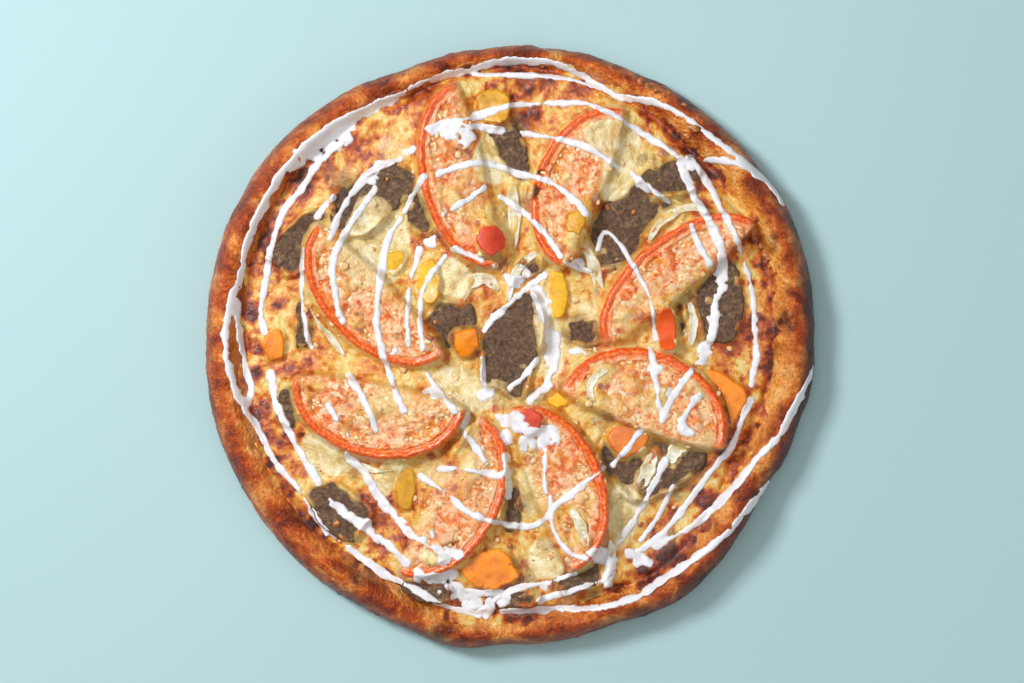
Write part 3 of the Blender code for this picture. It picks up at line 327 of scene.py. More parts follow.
# Strokes of sauce: points of the middle line in photograph pixels, and the width in millimetres
SAUCE_STROKES = (
    (((470, 71), (490, 65), (505, 62), (545, 63), (575, 73), (600, 88), (625, 99), (655, 104), (685, 119),
      (703, 133), (728, 152), (750, 170), (770, 186), (783, 206)), 3.4),
    (((520, 62), (545, 62), (575, 72), (600, 87), (622, 98)), 3.0),
    (((705, 161), (730, 163), (752, 174)), 3.0),
    (((474, 70), (460, 73), (430, 80), (400, 95), (370, 108), (340, 124), (312, 143), (290, 165),
      (272, 192), (258, 220), (247, 250), (243, 275), (232, 305), (228, 330), (229, 355), (236, 385),
      (247, 408), (260, 430),
      (272, 455), (290, 478), (306, 500), (322, 525), (343, 543), (366, 560), (388, 575), (415, 588),
      (445, 605), (480, 614)), 3.6),
    (((350, 126), (325, 140), (302, 156), (292, 168)), 7.5),
    (((395, 98), (370, 110), (345, 126)), 5.5),
    (((345, 140), (318, 165), (302, 190), (285, 210), (276, 235), (270, 262), (265, 290), (262, 315),
      (265, 332)), 3.4),
    (((238, 300), (240, 330), (246, 365), (252, 390), (247, 408)), 3.0),
    (((272, 373), (276, 400), (287, 425), (300, 450), (320, 482)), 4.0),
    (((305, 250), (303, 290), (308, 335), (313, 348)), 2.2),
    (((400, 160), (372, 172), (353, 195), (340, 215), (331, 240)), 3.4),
    (((375, 190), (350, 228), (337, 255), (334, 275), (340, 312), (344, 322)), 3.2),
    (((335, 198), (325, 208), (318, 217)), 3.2),
    (((400, 220), (388, 242), (383, 270), (378, 320), (383, 352), (394, 385), (405, 410)), 3.4),
    (((420, 250), (412, 280), (408, 310), (409, 345)), 3.4),
    (((445, 258), (426, 283), (421, 308), (423, 348)), 3.2),
    (((425, 178), (414, 196), (405, 212)), 3.2),
    (((330, 405), (344, 426), (357, 448)), 3.2),
    (((350, 375), (363, 395), (378, 430)), 3.2),
    (((428, 375), (441, 392), (455, 410)), 3.2),
    (((430, 132), (450, 125), (470, 128)), 6.0),
    (((455, 125), (475, 118), (515, 106), (560, 104), (585, 104), (610, 115), (640, 133), (665, 148),
      (685, 165)), 3.4),
    (((470, 72), (480, 75), (520, 76), (560, 78), (585, 84), (600, 88)), 3.0),
    (((475, 128), (505, 132), (545, 137), (575, 145), (603, 158), (617, 168)), 3.4),
    (((440, 175), (480, 164), (520, 175), (550, 183), (575, 203), (585, 215)), 3.4),
    (((443, 215), (470, 200), (485, 188)), 3.2),
    (((500, 197), (520, 210), (545, 235), (560, 257)), 3.2),
    (((455, 250), (470, 255), (494, 266)), 3.4),
    (((545, 275), (525, 290), (507, 307), (490, 322), (485, 330)), 3.4),
    (((535, 290), (550, 325), (557, 345), (553, 370), (545, 385), (530, 400)), 4.2),
    (((565, 264), (578, 268), (590, 272)), 3.0),
    (((597, 250), (604, 232), (618, 243), (630, 262), (640, 280), (648, 296), (652, 315), (655, 340)), 2.2),
    (((650, 190), (662, 199), (675, 207)), 2.4),
    (((632, 175), (640, 182), (648, 190)), 4.0),
    (((690, 226), (697, 245), (708, 265)), 3.2),
    (((690, 160), (705, 180), (720, 208), (732, 232), (742, 260), (751, 290), (755, 332), (755, 360),
      (750, 385)), 3.4),
    (((680, 165), (692, 195), (706, 220), (718, 250), (722, 285), (715, 300), (712, 330), (703, 358)), 4.4),
    (((750, 400), (740, 422), (731, 445), (712, 468), (697, 490), (680, 512), (660, 535), (640, 550)), 3.4),
    (((817, 363), (803, 388), (790, 412), (775, 437), (757, 455), (742, 475), (725, 495), (705, 515),
      (685, 530), (655, 546)), 3.4),
    (((780, 475), (760, 492), (742, 513), (722, 535), (700, 552), (675, 570), (648, 588), (620, 601),
      (590, 607), (560, 608), (530, 610), (502, 611)), 3.6),
    (((605, 578), (570, 590), (540, 599)), 3.2),
    (((575, 572), (545, 582), (515, 588), (495, 600), (480, 610)), 3.2),
    (((428, 577), (440, 577), (452, 574)), 6.0),
    (((455, 585), (475, 592), (500, 592)), 4.5),
    (((350, 455), (365, 472), (378, 495), (395, 515), (412, 532), (432, 546), (460, 552)), 5.0),
    (((330, 498), (357, 520), (385, 542), (408, 562)), 4.6),
    (((420, 475), (450, 495), (470, 512), (505, 523), (535, 525), (555, 505), (575, 490), (603, 467)), 3.4),
    (((440, 468), (460, 468), (500, 475)), 3.2),
    (((468, 413), (465, 430), (475, 445), (487, 460)), 3.4),
    (((505, 455), (508, 475), (508, 495)), 3.8),
    (((500, 417), (525, 428), (555, 440)), 6.0),
    (((522, 440), (535, 432), (552, 428)), 4.5),
    (((550, 495), (552, 525), (568, 550), (585, 556)), 2.4),
    (((545, 455), (544, 472), (546, 492)), 2.6),
    (((484, 358), (485, 380), (489, 396)), 4.4),
    (((537, 292), (544, 315), (551, 345), (551, 362)), 6.4),
    (((537, 360), (524, 376), (510, 388)), 3.2),
    (((572, 352), (580, 350), (586, 354)), 3.6),
    (((650, 350), (653, 370), (658, 405)), 3.2),
    (((690, 370), (672, 395), (660, 420)), 3.2),
    (((698, 395), (680, 420), (690, 432)), 3.2),
    (((640, 430), (626, 448), (612, 465)), 3.2),
    (((665, 458), (650, 490), (632, 522), (618, 540)), 3.2),
    (((672, 485), (657, 517), (640, 540)), 2.4),
    (((592, 550), (603, 556), (612, 566)), 5.0),
    (((628, 552), (640, 556), (648, 562)), 4.2),
    (((602, 578), (608, 572), (614, 560)), 3.6),
)

# Fried scraps on the rim and the cheese in photograph pixels: middle, and half size in millimetres
SCRAPS = (
    (640, 83, 1.9), (647, 88, 1.4), (655, 92, 1.5), (683, 106, 1.3), (693, 130, 2.3), (686, 137, 1.6),
    (262, 262, 1.4), (760, 246, 1.5), (766, 257, 1.8), (334, 209, 1.4), (640, 524, 1.3),
    (523, 262, 1.5), (607, 208, 1.4), (633, 213, 1.3), (337, 523, 1.6), (430, 338, 1.4), (436, 322, 1.2),
    (415, 178, 1.3), (388, 180, 1.2), (455, 150, 1.0), (462, 147, 0.9), (510, 545, 1.1),
)
# Loose scraps and half-melted lumps: how many are drawn, and how far they lie from the middle at most
LOOSE_SCRAPS = 150
SCRAP_REACH = 108 * MM
LUMP_DRAWS = 1500
LUMP_REACH = 100 * MM
# Seeds: how many places are tried on each slice of tomato, and how many seeds it has at most
SEED_DRAWS = 900
SEEDS_PER_SLICE = 26

# The fine grid of heights
CELL = 0.45 * MM
AXIS = np.arange(-PIZZA_WIDTH / 2 - 3 * MM, PIZZA_WIDTH / 2 + 3 * MM, CELL)
GRID_X, GRID_Y = np.meshgrid(AXIS, AXIS, indexing="ij")


def linear(red, green, blue):
    """A screen colour with parts from 0 to 255 as linear light, with full alpha."""
    parts = np.array([red, green, blue]) / 255.0
    light = np.where(parts <= 0.04045, parts / 12.92, ((parts + 0.055) / 1.055) ** 2.4)
    return (*light.tolist(), 1.0)


def smooth_step(value):
    """0 below 0, 1 above 1, and an easy S between: 3v2 - 2v3."""
    value = np.clip(value, 0.0, 1.0)
    return value * value * (3.0 - 2.0 * value)


def noise(points, size, seed):
    """Value noise from -1 to 1: random values at the corners of cubes of one size, blended between them with
    smooth steps."""
    lattice = np.random.default_rng(seed).uniform(-1.0, 1.0, (32, 32, 32))
    cell = points / size
    whole = np.floor(cell).astype(int)
    share = cell - whole
    share = share * share * (3.0 - 2.0 * share)
    total = np.zeros(points.shape[:-1])
    for corner in itertools.product((0, 1), repeat=3):
        weight = np.prod(np.where(np.array(corner) == 1, share, 1.0 - share), axis=-1)
        i, j, k = np.moveaxis((whole + corner) % 32, -1, 0)
        total += lattice[i, j, k] * weight
    return total


def rough_noise(points, size, octaves, seed):
    """Noise with finer noise on it: each octave has half the size and half the strength of the last."""
    total = np.zeros(points.shape[:-1])
    for octave in range(octaves):
        total += noise(points, size / 2 ** octave, seed + octave) / 2 ** octave
    return total


def flat_points(x, y, level=0.0):
    """Places of a height map as points for the noise."""
    return np.stack([x, y, np.full_like(x, level)], axis=-1)


GRID_POINTS = flat_points(GRID_X, GRID_Y)


def blur(field, radius):
    """Bell-weighted mean of the neighbours, along one axis of the grid and then along the other."""
    reach = int(math.ceil(2.5 * radius / CELL))
    steps = np.arange(-reach, reach + 1)
    weights = np.exp(-0.5 * (steps * CELL / radius) ** 2)
    weights = weights / weights.sum()
    for axis in (0, 1):
        field = sum(weight * np.roll(field, step, axis) for step, weight in zip(steps, weights))
    return field


def widen(field, radius):
    """A field on the grid whose high places are wider by a radius: the highest value in a square round each
    place."""
    steps = int(round(radius / CELL))
    for axis in (0, 1):
        field = np.max([np.roll(field, step, axis=axis) for step in range(-steps, steps + 1)], axis=0)
    return field


def sample(field, x, y):
    """A grid field read between its cells: each value is the mix of the four round it."""
    last = len(AXIS) - 1.001
    u = np.clip((x - AXIS[0]) / CELL, 0, last)
    v = np.clip((y - AXIS[0]) / CELL, 0, last)
    i, j = u.astype(int), v.astype(int)
    u, v = u - i, v - j
    near = field[i, j] * (1 - v) + field[i, j + 1] * v
    far = field[i + 1, j] * (1 - v) + field[i + 1, j + 1] * v
    return near * (1 - u) + far * u


def window(points, margin):
    """The part of the grid round some points."""
    low = np.clip(((points.min(axis=0) - margin - AXIS[0]) / CELL).astype(int), 0, len(AXIS) - 1)
    high = np.clip(((points.max(axis=0) + margin - AXIS[0]) / CELL).astype(int) + 1, 0, len(AXIS))
    return slice(low[0], high[0]), slice(low[1], high[1])


def by_direction(table, degrees):
    """A value that changes smoothly round the pizza, from (direction, value) pairs."""
    given = np.array(table, dtype=float)
    fine = np.arange(720) / 2.0
    values = np.interp(fine, given[:, 0], given[:, 1], period=360.0)
    kernel = np.array([1.0, 2.0, 3.0, 2.0, 1.0]) / 9.0
    for _ in range(2):
        wrapped = np.concatenate([values[-2:], values, values[:2]])
        values = np.convolve(wrapped, kernel, mode="valid")
    return np.interp(degrees, fine, values, period=360.0)


def edge_middle():
    """The middle of the crust's bounding box, seen from the photograph's middle point."""
    degrees = np.arange(OUTLINE_SIDES) * 360.0 / OUTLINE_SIDES
    turn = np.radians(degrees)
    radius = by_direction(CRUST_EDGE, degrees) * PIXEL
    edge = radius[:, None] * np.stack([np.cos(turn), np.sin(turn)], axis=1)
    return 0.5 * (edge.min(axis=0) + edge.max(axis=0))


BOX_MIDDLE = edge_middle()


def place(pixels):
    """Photograph pixels as metres in the part's frame."""
    pixels = np.array(pixels, dtype=float)
    across = (pixels[..., 0] - PHOTO_MIDDLE[0]) * PIXEL - BOX_MIDDLE[0]
    along = (PHOTO_MIDDLE[1] - pixels[..., 1]) * PIXEL - BOX_MIDDLE[1]
    return np.stack([across, along], axis=-1)


def seen_from_middle(x, y):
    """Distance and direction in degrees from the photograph's middle point."""
    across = x + BOX_MIDDLE[0]
    along = y + BOX_MIDDLE[1]
    return np.hypot(across, along), np.degrees(np.arctan2(along, across)) % 360.0


def rim_wave(degrees):
    """Slow unevenness of the rim, between -1 and 1."""
    turn = np.radians(degrees)
    return (np.sin(5 * turn + 0.7) + np.sin(11 * turn + 2.1) + np.sin(23 * turn + 4.0)) / 3.0


def rim_measures(degrees):
    """Outer radius, width and height of the rim."""
    radius = by_direction(CRUST_EDGE, degrees) * PIXEL
    height = by_direction(RIM_HEIGHT, degrees) * MM * (1.0 + 0.04 * rim_wave(degrees))
    return radius, by_direction(RIM_WIDTH, degrees) * MM, height


def cheese_radius(degrees):
    """Distance from the middle point to the edge of the cheese."""
    radius, width = rim_measures(degrees)[:2]
    return radius - width - CHEESE_GAP


def plain_cheese(x, y):
    """Top of the bare cheese: a gentle swell, and a small rise towards the rim."""
    reach, degrees = seen_from_middle(x, y)
    share = np.clip(reach / cheese_radius(degrees), 0.0, 1.0)
    swell = np.sin(x * 61.0 + 0.4) * np.sin(y * 53.0 + 1.1)
    return CHEESE_TOP + CHEESE_SWELL * swell + CHEESE_RISE_AT_RIM * share ** 6


def smooth_line(points, count):
    """Evenly spaced points on a smooth curve through the given ones."""
    padded = np.concatenate([[2 * points[0] - points[1]], points, [2 * points[-1] - points[-2]]])
    t = np.linspace(0, len(points) - 1, 40 * len(points))
    k = np.minimum(t.astype(int), len(points) - 2)
    f = (t - k)[:, None]
    a, b, c, d = padded[k], padded[k + 1], padded[k + 2], padded[k + 3]
    fine = 0.5 * (2 * b + (c - a) * f + (2 * a - 5 * b + 4 * c - d) * f**2 + (3 * b - a - 3 * c + d) * f**3)
    run = np.concatenate([[0.0], np.cumsum(np.hypot(*np.diff(fine, axis=0).T))])
    even = np.linspace(0.0, run[-1], count)
    return np.stack([np.interp(even, run, fine[:, 0]), np.interp(even, run, fine[:, 1])], axis=1)


def rounded_outline(corners, count, rounding):
    """Evenly spaced points round a polygon, with its corners rounded by a mean over a few neighbours."""
    closed = np.concatenate([corners, corners[:1]])
    run = np.concatenate([[0.0], np.cumsum(np.hypot(*np.diff(closed, axis=0).T))])
    even = np.arange(count) * run[-1] / count
    outline = np.stack([np.interp(even, run, closed[:, 0]), np.interp(even, run, closed[:, 1])], axis=1)
    half = rounding // 2
    wrapped = np.concatenate([outline[-half:], outline, outline[:half]])
    weights = np.ones(rounding) / rounding
    return np.stack([np.convolve(column, weights, "valid") for column in wrapped.T], axis=1)


def add_piece(name, points, face_groups, finish, material_slot, stands_for=(), **paint):
    """A smooth piece from whole arrays: points, groups of equal-sided faces, and one number a point for each
    named paint. It rides on the pizza and stands for the nodes named. No point is higher than the solids."""
    points = np.minimum(points, (np.inf, np.inf, CAD_BOUNDS[1][2]))
    mesh = bpy.data.meshes.new(name)
    mesh.vertices.add(len(points))
    mesh.vertices.foreach_set("co", np.ascontiguousarray(points, np.float32).ravel())
    corners = np.concatenate([faces.ravel() for faces in face_groups]).astype(np.int32)
    sizes = np.concatenate([np.full(len(faces), faces.shape[1]) for faces in face_groups])
    starts = np.concatenate([[0], np.cumsum(sizes)[:-1]]).astype(np.int32)
    mesh.loops.add(len(corners))
    mesh.loops.foreach_set("vertex_index", corners)
    mesh.polygons.add(len(starts))
    mesh.polygons.foreach_set("loop_start", starts)
    mesh.update(calc_edges=True)
    mesh.shade_smooth()
    for label, values in paint.items():
        layer = mesh.attributes.new(label, "FLOAT", "POINT")
        layer.data.foreach_set("value", np.ascontiguousarray(values, np.float32).ravel())
    mesh.materials.append(finish)
    piece = bpy.data.objects.new(name, mesh)
    bpy.context.scene.collection.objects.link(piece)
    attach(piece, "root")
    if stands_for:
        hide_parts(*stands_for)


def ring_faces(rings, sides, start=0):
    """Faces of a closed skin: a pole, rings of equal size that run from below, outwards, up and inwards, and
    a pole. Quads join ring to ring, and triangles join the poles to the first and the last ring."""
    i = np.arange(sides)
    j = (i + 1) % sides
    low = start + 1 + np.arange(rings - 1)[:, None] * sides
    quads = np.stack([low + i, low + j, low + sides + j, low + sides + i], axis=-1).reshape(-1, 4)
    last = start + 1 + rings * sides
    under = np.stack([np.full(sides, start), start + 1 + j, start + 1 + i], axis=-1)
    over = np.stack([np.full(sides, last), last - sides + i, last - sides + j], axis=-1)
    return quads, np.concatenate([under, over])


def ring_skin(rings, first_pole, last_pole):
    """Points and faces of a skin from an array of rings: ring, side, coordinate."""
    points = np.concatenate([[first_pole], rings.reshape(-1, 3), [last_pole]])
    quads, triangles = ring_faces(rings.shape[0], rings.shape[1])
    return points, (quads, triangles)


def underside_of(node, middle, size):
    """The underside of a topping, read from its node: the quadratic surface that best fits the corners of its
    faces that look down."""
    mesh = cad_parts[node].data
    corners = np.empty(len(mesh.loops), np.int32)
    mesh.loops.foreach_get("vertex_index", corners)
    points = np.empty(len(mesh.vertices) * 3, np.float32)
    mesh.vertices.foreach_get("co", points)
    triangles = points.reshape(-1, 3)[corners].reshape(-1, 3, 3).astype(float)
    normals = np.cross(triangles[:, 1] - triangles[:, 0], triangles[:, 2] - triangles[:, 0])
    down = normals[:, 2] < -0.8 * np.linalg.norm(normals, axis=1)
    under = triangles[down].reshape(-1, 3)
    terms = bend_terms(under[:, 0], under[:, 1], middle, size)
    bend = np.linalg.lstsq(terms, under[:, 2], rcond=None)[0]

    def underside(x, y):
        """Height of the fitted surface."""
        return bend_terms(x, y, middle, size) @ bend

    return underside


def bend_terms(x, y, middle, size):
    """The six terms of a quadratic surface: 1, u, v, u squared, u times v and v squared."""
    u, v = (x - middle[0]) / size, (y - middle[1]) / size
    return np.stack([np.ones_like(u), u, v, u * u, u * v, v * v], axis=-1)


class Slice:
    """A flat topping with a star-shaped outline: its reach from its middle is a function of the direction.
    Each kind gives its own relief, which its top adds to a plain slab."""

    TURN_STEPS = 720

    def __init__(self, node, outline, thickness, rounding, rag, seed, marks=None):
        """Reads the reach in each direction from the outline, makes it ragged by noise, and works out how far
        the outline leans there: the reach over the root of the squares of the reach and its slope."""
        if np.cross(outline, np.roll(outline, -1, axis=0)).sum() < 0:
            outline = outline[::-1]
            marks = marks[::-1] if marks is not None else None
        self.middle = 0.25 * (outline.min(axis=0) + outline.max(axis=0)) + 0.5 * outline.mean(axis=0)
        offset = outline - self.middle
        turn = np.arctan2(offset[:, 1], offset[:, 0])
        order = np.argsort(turn)
        half_turn = self.TURN_STEPS / 2
        self.turns = np.arange(self.TURN_STEPS) * math.pi / half_turn
        reach = np.hypot(offset[:, 0], offset[:, 1])[order]
        self.reach = np.interp(self.turns, turn[order], reach, period=2 * math.pi)
        edge = self.middle + self.reach[:, None] * np.stack([np.cos(self.turns), np.sin(self.turns)], axis=1)
        self.reach = self.reach + rag * rough_noise(flat_points(*edge.T, seed * MM), 3 * MM, 3, 60)
        slope = (np.roll(self.reach, -1) - np.roll(self.reach, 1)) / (2 * math.pi / half_turn)
        slope = np.convolve(np.concatenate([slope[-4:], slope, slope[:4]]), np.ones(9) / 9, mode="valid")
        self.lean = self.reach / np.hypot(self.reach, slope)
        if marks is not None:
            self.marks = np.interp(self.turns, turn[order], marks[order], period=2 * math.pi)
        self.node, self.thickness, self.rounding = node, thickness, rounding
        self.corners = edge
        self.underside = underside_of(node, self.middle, self.reach.max())

    def along(self, values, turn):
        """A value given by direction, read between its places."""
        return np.interp(turn, self.turns, values, period=2 * math.pi)

    def inset(self, x, y):
        """Distance inwards from the outline, in metres: the rest of the reach, leaned with the outline."""
        dx, dy = x - self.middle[0], y - self.middle[1]
        turn = np.arctan2(dy, dx)
        return (self.along(self.reach, turn) - np.hypot(dx, dy)) * self.along(self.lean, turn)

    def bareness(self, x, y, inset, cover):
        """How far the cheese stays below the top: less at the edges. Below zero it lies over it. The cover is
        noise round zero."""
        edge = smooth_step(1.0 - inset / (1.6 * MM))
        return 1.5 * MM + 0.5 * MM * cover - 1.3 * MM * edge

    def rise(self, inset):
        """Height of a rounded edge: a quarter circle from a third of the thickness to the whole."""
        share = 1.0 - np.clip(inset / self.rounding, 0.0, 1.0)
        return self.thickness * (0.35 + 0.65 * np.sqrt(1.0 - share * share))

    def top(self, x, y):
        """Height of the top: the underside, the rounded slab and the relief."""
        inset = self.inset(x, y)
        return self.underside(x, y) + self.rise(inset) + self.relief(x, y, inset)

    def skin(self, rings, sides):
        """The closed surface: from the middle underneath, out to the edge, and back over the top."""
        turn = np.arange(sides) * 2 * math.pi / sides
        flat = np.stack([np.cos(turn), np.sin(turn)], axis=1) * self.along(self.reach, turn)[:, None]
        share = 1.0 - np.linspace(0.0, 1.0, rings)[:-1] ** 1.5
        body = []
        for part, up in ((0.5, 0.0), (0.93, 0.0), (0.985, 0.12)):
            at = self.middle + flat * part
            body.append(np.column_stack([at, self.underside(at[:, 0], at[:, 1]) + up * self.thickness]))
        over = self.middle + flat * share[:, None, None]
        over = np.concatenate([over, self.top(over[..., 0], over[..., 1])[..., None]], axis=-1)
        x, y = self.middle
        base = (x, y, float(self.underside(x, y)))
        crown = (x, y, float(self.top(np.array([x]), np.array([y]))[0]))
        return ring_skin(np.concatenate([np.array(body), over]), base, crown)


class Tomato(Slice):
    """A half slice: a tube of skin along the arc, a groove inside it, and flesh with seed hollows."""

    SKIN_WIDTH = 3.2 * MM
    HOLLOW_BAND = (5.0 * MM, 12.5 * MM)
    HOLLOW_DEPTH = 1.3 * MM

    def __init__(self, node, tip_a, tip_b, skin_reach, hollows, seed):
        """The outline is half an ellipse for the skin, and a flat arc for the cut."""
        a, b = place(tip_a), place(tip_b)
        along = b - a
        side = np.array([along[1], -along[0]]) / np.hypot(*along)
        t = np.linspace(0.0, math.pi, 61)[:, None]
        reach = skin_reach * PIXEL
        arc = a + along * (1 - np.cos(t)) / 2 + side * np.sin(t) * reach
        cut = b - along * (1 - np.cos(t)) / 2 - side * np.sin(t) * reach * TOMATO_BELLY
        self.origin, self.chord, self.side = a, along, side
        self.hollows, self.seed = hollows, seed
        self.cut = np.stack([a + 0.12 * along, b - 0.12 * along])
        marks = np.concatenate([np.ones(60), np.zeros(60)])
        outline = np.concatenate([arc[:-1], cut[:-1]])
        super().__init__(node, outline, TOMATO_THICKNESS, 1.5 * MM, 0.35 * MM, seed, marks)
        wrapped = np.concatenate([self.marks[-7:], self.marks, self.marks[:7]])
        self.marks = np.clip(np.convolve(wrapped, np.ones(15) / 15, mode="valid"), 0, 1)

    def skin_share(self, x, y):
        """1 where the nearest edge is skin, and 0 where it is the cut."""
        return self.along(self.marks, np.arctan2(y - self.middle[1], x - self.middle[0]))

    def hollow(self, x, y, inset):
        """0 on the flesh and 1 in a seed hollow. The hollows lie in a band inside the skin, side by side, and
        the walls between them point to the middle of the cut."""
        heart = self.origin + 0.5 * self.chord
        turn = np.arctan2(y - heart[1], x - heart[0]) - math.atan2(self.side[1], self.side[0])
        count, shift = self.hollows
        wobble = 0.35 * noise(flat_points(x, y, self.seed * MM), 6 * MM, 13)
        beside = np.abs(np.sin(0.5 * count * (turn + shift) + wobble))
        near, far = self.HOLLOW_BAND
        across = smooth_step((inset - near) / (1.5 * MM)) * smooth_step((far - inset) / (3 * MM))
        return smooth_step(beside * 2.2 - 0.7) * across * smooth_step(self.skin_share(x, y) * 2.0)

    def relief(self, x, y, inset):
        """A tube of skin and a groove, each a bell curve across the edge, rough flesh less its hollows and
        gaps, and a top that is worn down towards the cut."""
        skin = self.skin_share(x, y)
        tube = 0.45 * MM * np.exp(-((inset - 1.7 * MM) / (1.2 * MM)) ** 2)
        groove = 0.7 * MM * np.exp(-((inset - self.SKIN_WIDTH - 0.5 * MM) / (0.6 * MM)) ** 2)
        edge = smooth_step(inset / (2 * MM))
        flesh = rough_noise(flat_points(x, y, self.seed * MM), 2.6 * MM, 3, 11) * 0.3 * MM
        worn = (1.0 - skin) * smooth_step(1.0 - inset / (7 * MM)) * 1.6 * MM
        gaps = spots(DEEP_GAPS, x, y) * 2.6 * MM
        sunk = self.HOLLOW_DEPTH * self.hollow(x, y, inset)
        return skin * (tube - groove) * edge + edge * (flesh - sunk - gaps) - worn

    def bareness(self, x, y, inset, cover):
        """As for any slice: the skin stays bare, the flesh is barer in the bright places and covered in the
        pale ones, and the cut is covered."""
        share = self.skin_share(x, y)
        skin = share * smooth_step(1.7 - inset / self.SKIN_WIDTH)
        cut = (1.0 - share) * smooth_step(1.0 - inset / (7 * MM))
        place_by_place = 1.5 * spots(BRIGHT_PLACES, x, y) - 1.2 * spots(PALE_PLACES, x, y)
        flesh = (1.0 - skin) * (0.6 + 1.1 * cover + place_by_place) * MM
        return flesh + 2.1 * MM * skin - 1.0 * MM * cut


class Meat(Slice):
    """A slice of pressed meat: a lumpy face with a fine grain, and frayed edges."""

    def __init__(self, node, sizes, seed):
        """The outline is a rounded oblong, from the 0.75th powers of a cosine and a sine, with a wobble."""
        x, y, long, wide, heading = sizes
        t = np.arange(96) * math.pi / 48
        wobble = 1.0 + 0.07 * np.sin(3 * t + seed) + 0.05 * np.sin(5 * t + 2.3 * seed)
        across = np.sign(np.cos(t)) * np.abs(np.cos(t)) ** 0.75 * long / 2 * wobble
        along = np.sign(np.sin(t)) * np.abs(np.sin(t)) ** 0.75 * wide / 2 * wobble
        self.turn, self.seed = math.radians(heading), seed
        pixel_x = x + across * math.cos(self.turn) - along * math.sin(self.turn)
        pixel_y = y - across * math.sin(self.turn) - along * math.cos(self.turn)
        outline = place(np.stack([pixel_x, pixel_y], axis=1))
        super().__init__(node, outline, MEAT_THICKNESS, 0.9 * MM, 0.5 * MM, seed)

    def bareness(self, x, y, inset, cover):
        """As for any slice, with cheese that creeps unevenly over the edge."""
        edge = smooth_step(1.0 - inset / (3.2 * MM))
        frayed = 1.1 + 1.8 * noise(flat_points(x, y), 4.5 * MM, 23)
        return 1.5 * MM + 1.2 * MM * cover - 2.3 * MM * edge * frayed

    def relief(self, x, y, inset):
        """Lumps, and a fine grain that runs along the slice."""
        across = x * math.cos(self.turn) + y * math.sin(self.turn)
        along = y * math.cos(self.turn) - x * math.sin(self.turn)
        grain = rough_noise(flat_points(across * 0.7, along, self.seed * MM), 1.3 * MM, 2, 21)
        lumps = noise(flat_points(x, y, self.seed * MM), 5 * MM, 22)
        return (0.2 * MM * grain + 0.45 * MM * lumps) * smooth_step(inset / (0.8 * MM))


class Pepper(Slice):
    """A chunk of sweet pepper: a soft skin with shallow dents."""

    def relief(self, x, y, inset):
        """A slight dome, and noise."""
        dome = 0.15 * MM * smooth_step(inset / (4 * MM))
        return dome + 0.35 * MM * rough_noise(flat_points(x, y, 7 * MM), 6 * MM, 2, 31)


class Onion:
    """A strip of onion: a thin cupped section carried along a line, pointed at both ends."""

    def __init__(self, node, pixels, width):
        """The middle line is a smooth curve through the given points."""
        self.node, self.thickness = node, ONION_THICKNESS
        self.line = smooth_line(place(pixels), 60)
        self.half = width * PIXEL / 2
        self.corners = self.line
        self.middle = self.line.mean(axis=0)
        size = np.hypot(*(self.line - self.middle).T).max() + self.half
        self.underside = underside_of(node, self.middle, size)

    def inset(self, x, y):
        """Distance inwards from the edge of the strip."""
        return self.half - distance_to_line(self.line[::3], x, y)

    def bareness(self, x, y, inset, cover):
        """How far the cheese stays below the top, as for the other toppings."""
        return 1.1 * MM + 0.5 * MM * cover

    def top(self, x, y):
        """Height of the top, which rises from a thin edge to the full thickness."""
        return self.underside(x, y) + self.thickness * (0.4 + 0.6 * smooth_step(self.inset(x, y) / self.half))

    def skin(self, across=13):
        """Sections along the line: over the top from one edge to the other, and back underneath."""
        along = np.gradient(self.line, axis=0)
        along = along / np.hypot(along[:, 0], along[:, 1])[:, None]
        side = np.stack([-along[:, 1], along[:, 0]], axis=1)
        taper = np.sin(np.linspace(0.12, math.pi - 0.12, len(self.line))) ** 0.45
        wobble = 1.0 + 0.12 * np.sin(np.linspace(0, 17, len(self.line)))
        half = self.half * taper * wobble
        v = np.linspace(-1.0, 1.0, across)
        over = self.line[:, None, :] + side[:, None, :] * (half[:, None] * v)[..., None]
        base = self.underside(over[..., 0], over[..., 1])
        cup = 0.5 + 0.5 * np.abs(v) ** 3
        dome = self.thickness * np.where(np.abs(v) > 0.99, 0.3, cup)
        upper = np.concatenate([over, (base + dome * (0.4 + 0.6 * taper[:, None]))[..., None]], axis=-1)
        lower = np.concatenate([over, (base + 0.15 * self.thickness)[..., None]], axis=-1)
        loops = np.concatenate([upper, lower[:, ::-1]], axis=1)
        first, last = loops[0].mean(axis=0), loops[-1].mean(axis=0)
        return ring_skin(loops, first, last)


def distance_to_line(line, x, y):
    """Distance from each place to a line of points."""
    nearest = np.full(np.shape(x), np.inf)
    for a, b in zip(line[:-1], line[1:]):
        along = b - a
        t = np.clip(((x - a[0]) * along[0] + (y - a[1]) * along[1]) / along.dot(along), 0.0, 1.0)
        nearest = np.minimum(nearest, np.hypot(x - a[0] - t * along[0], y - a[1] - t * along[1]))
    return nearest


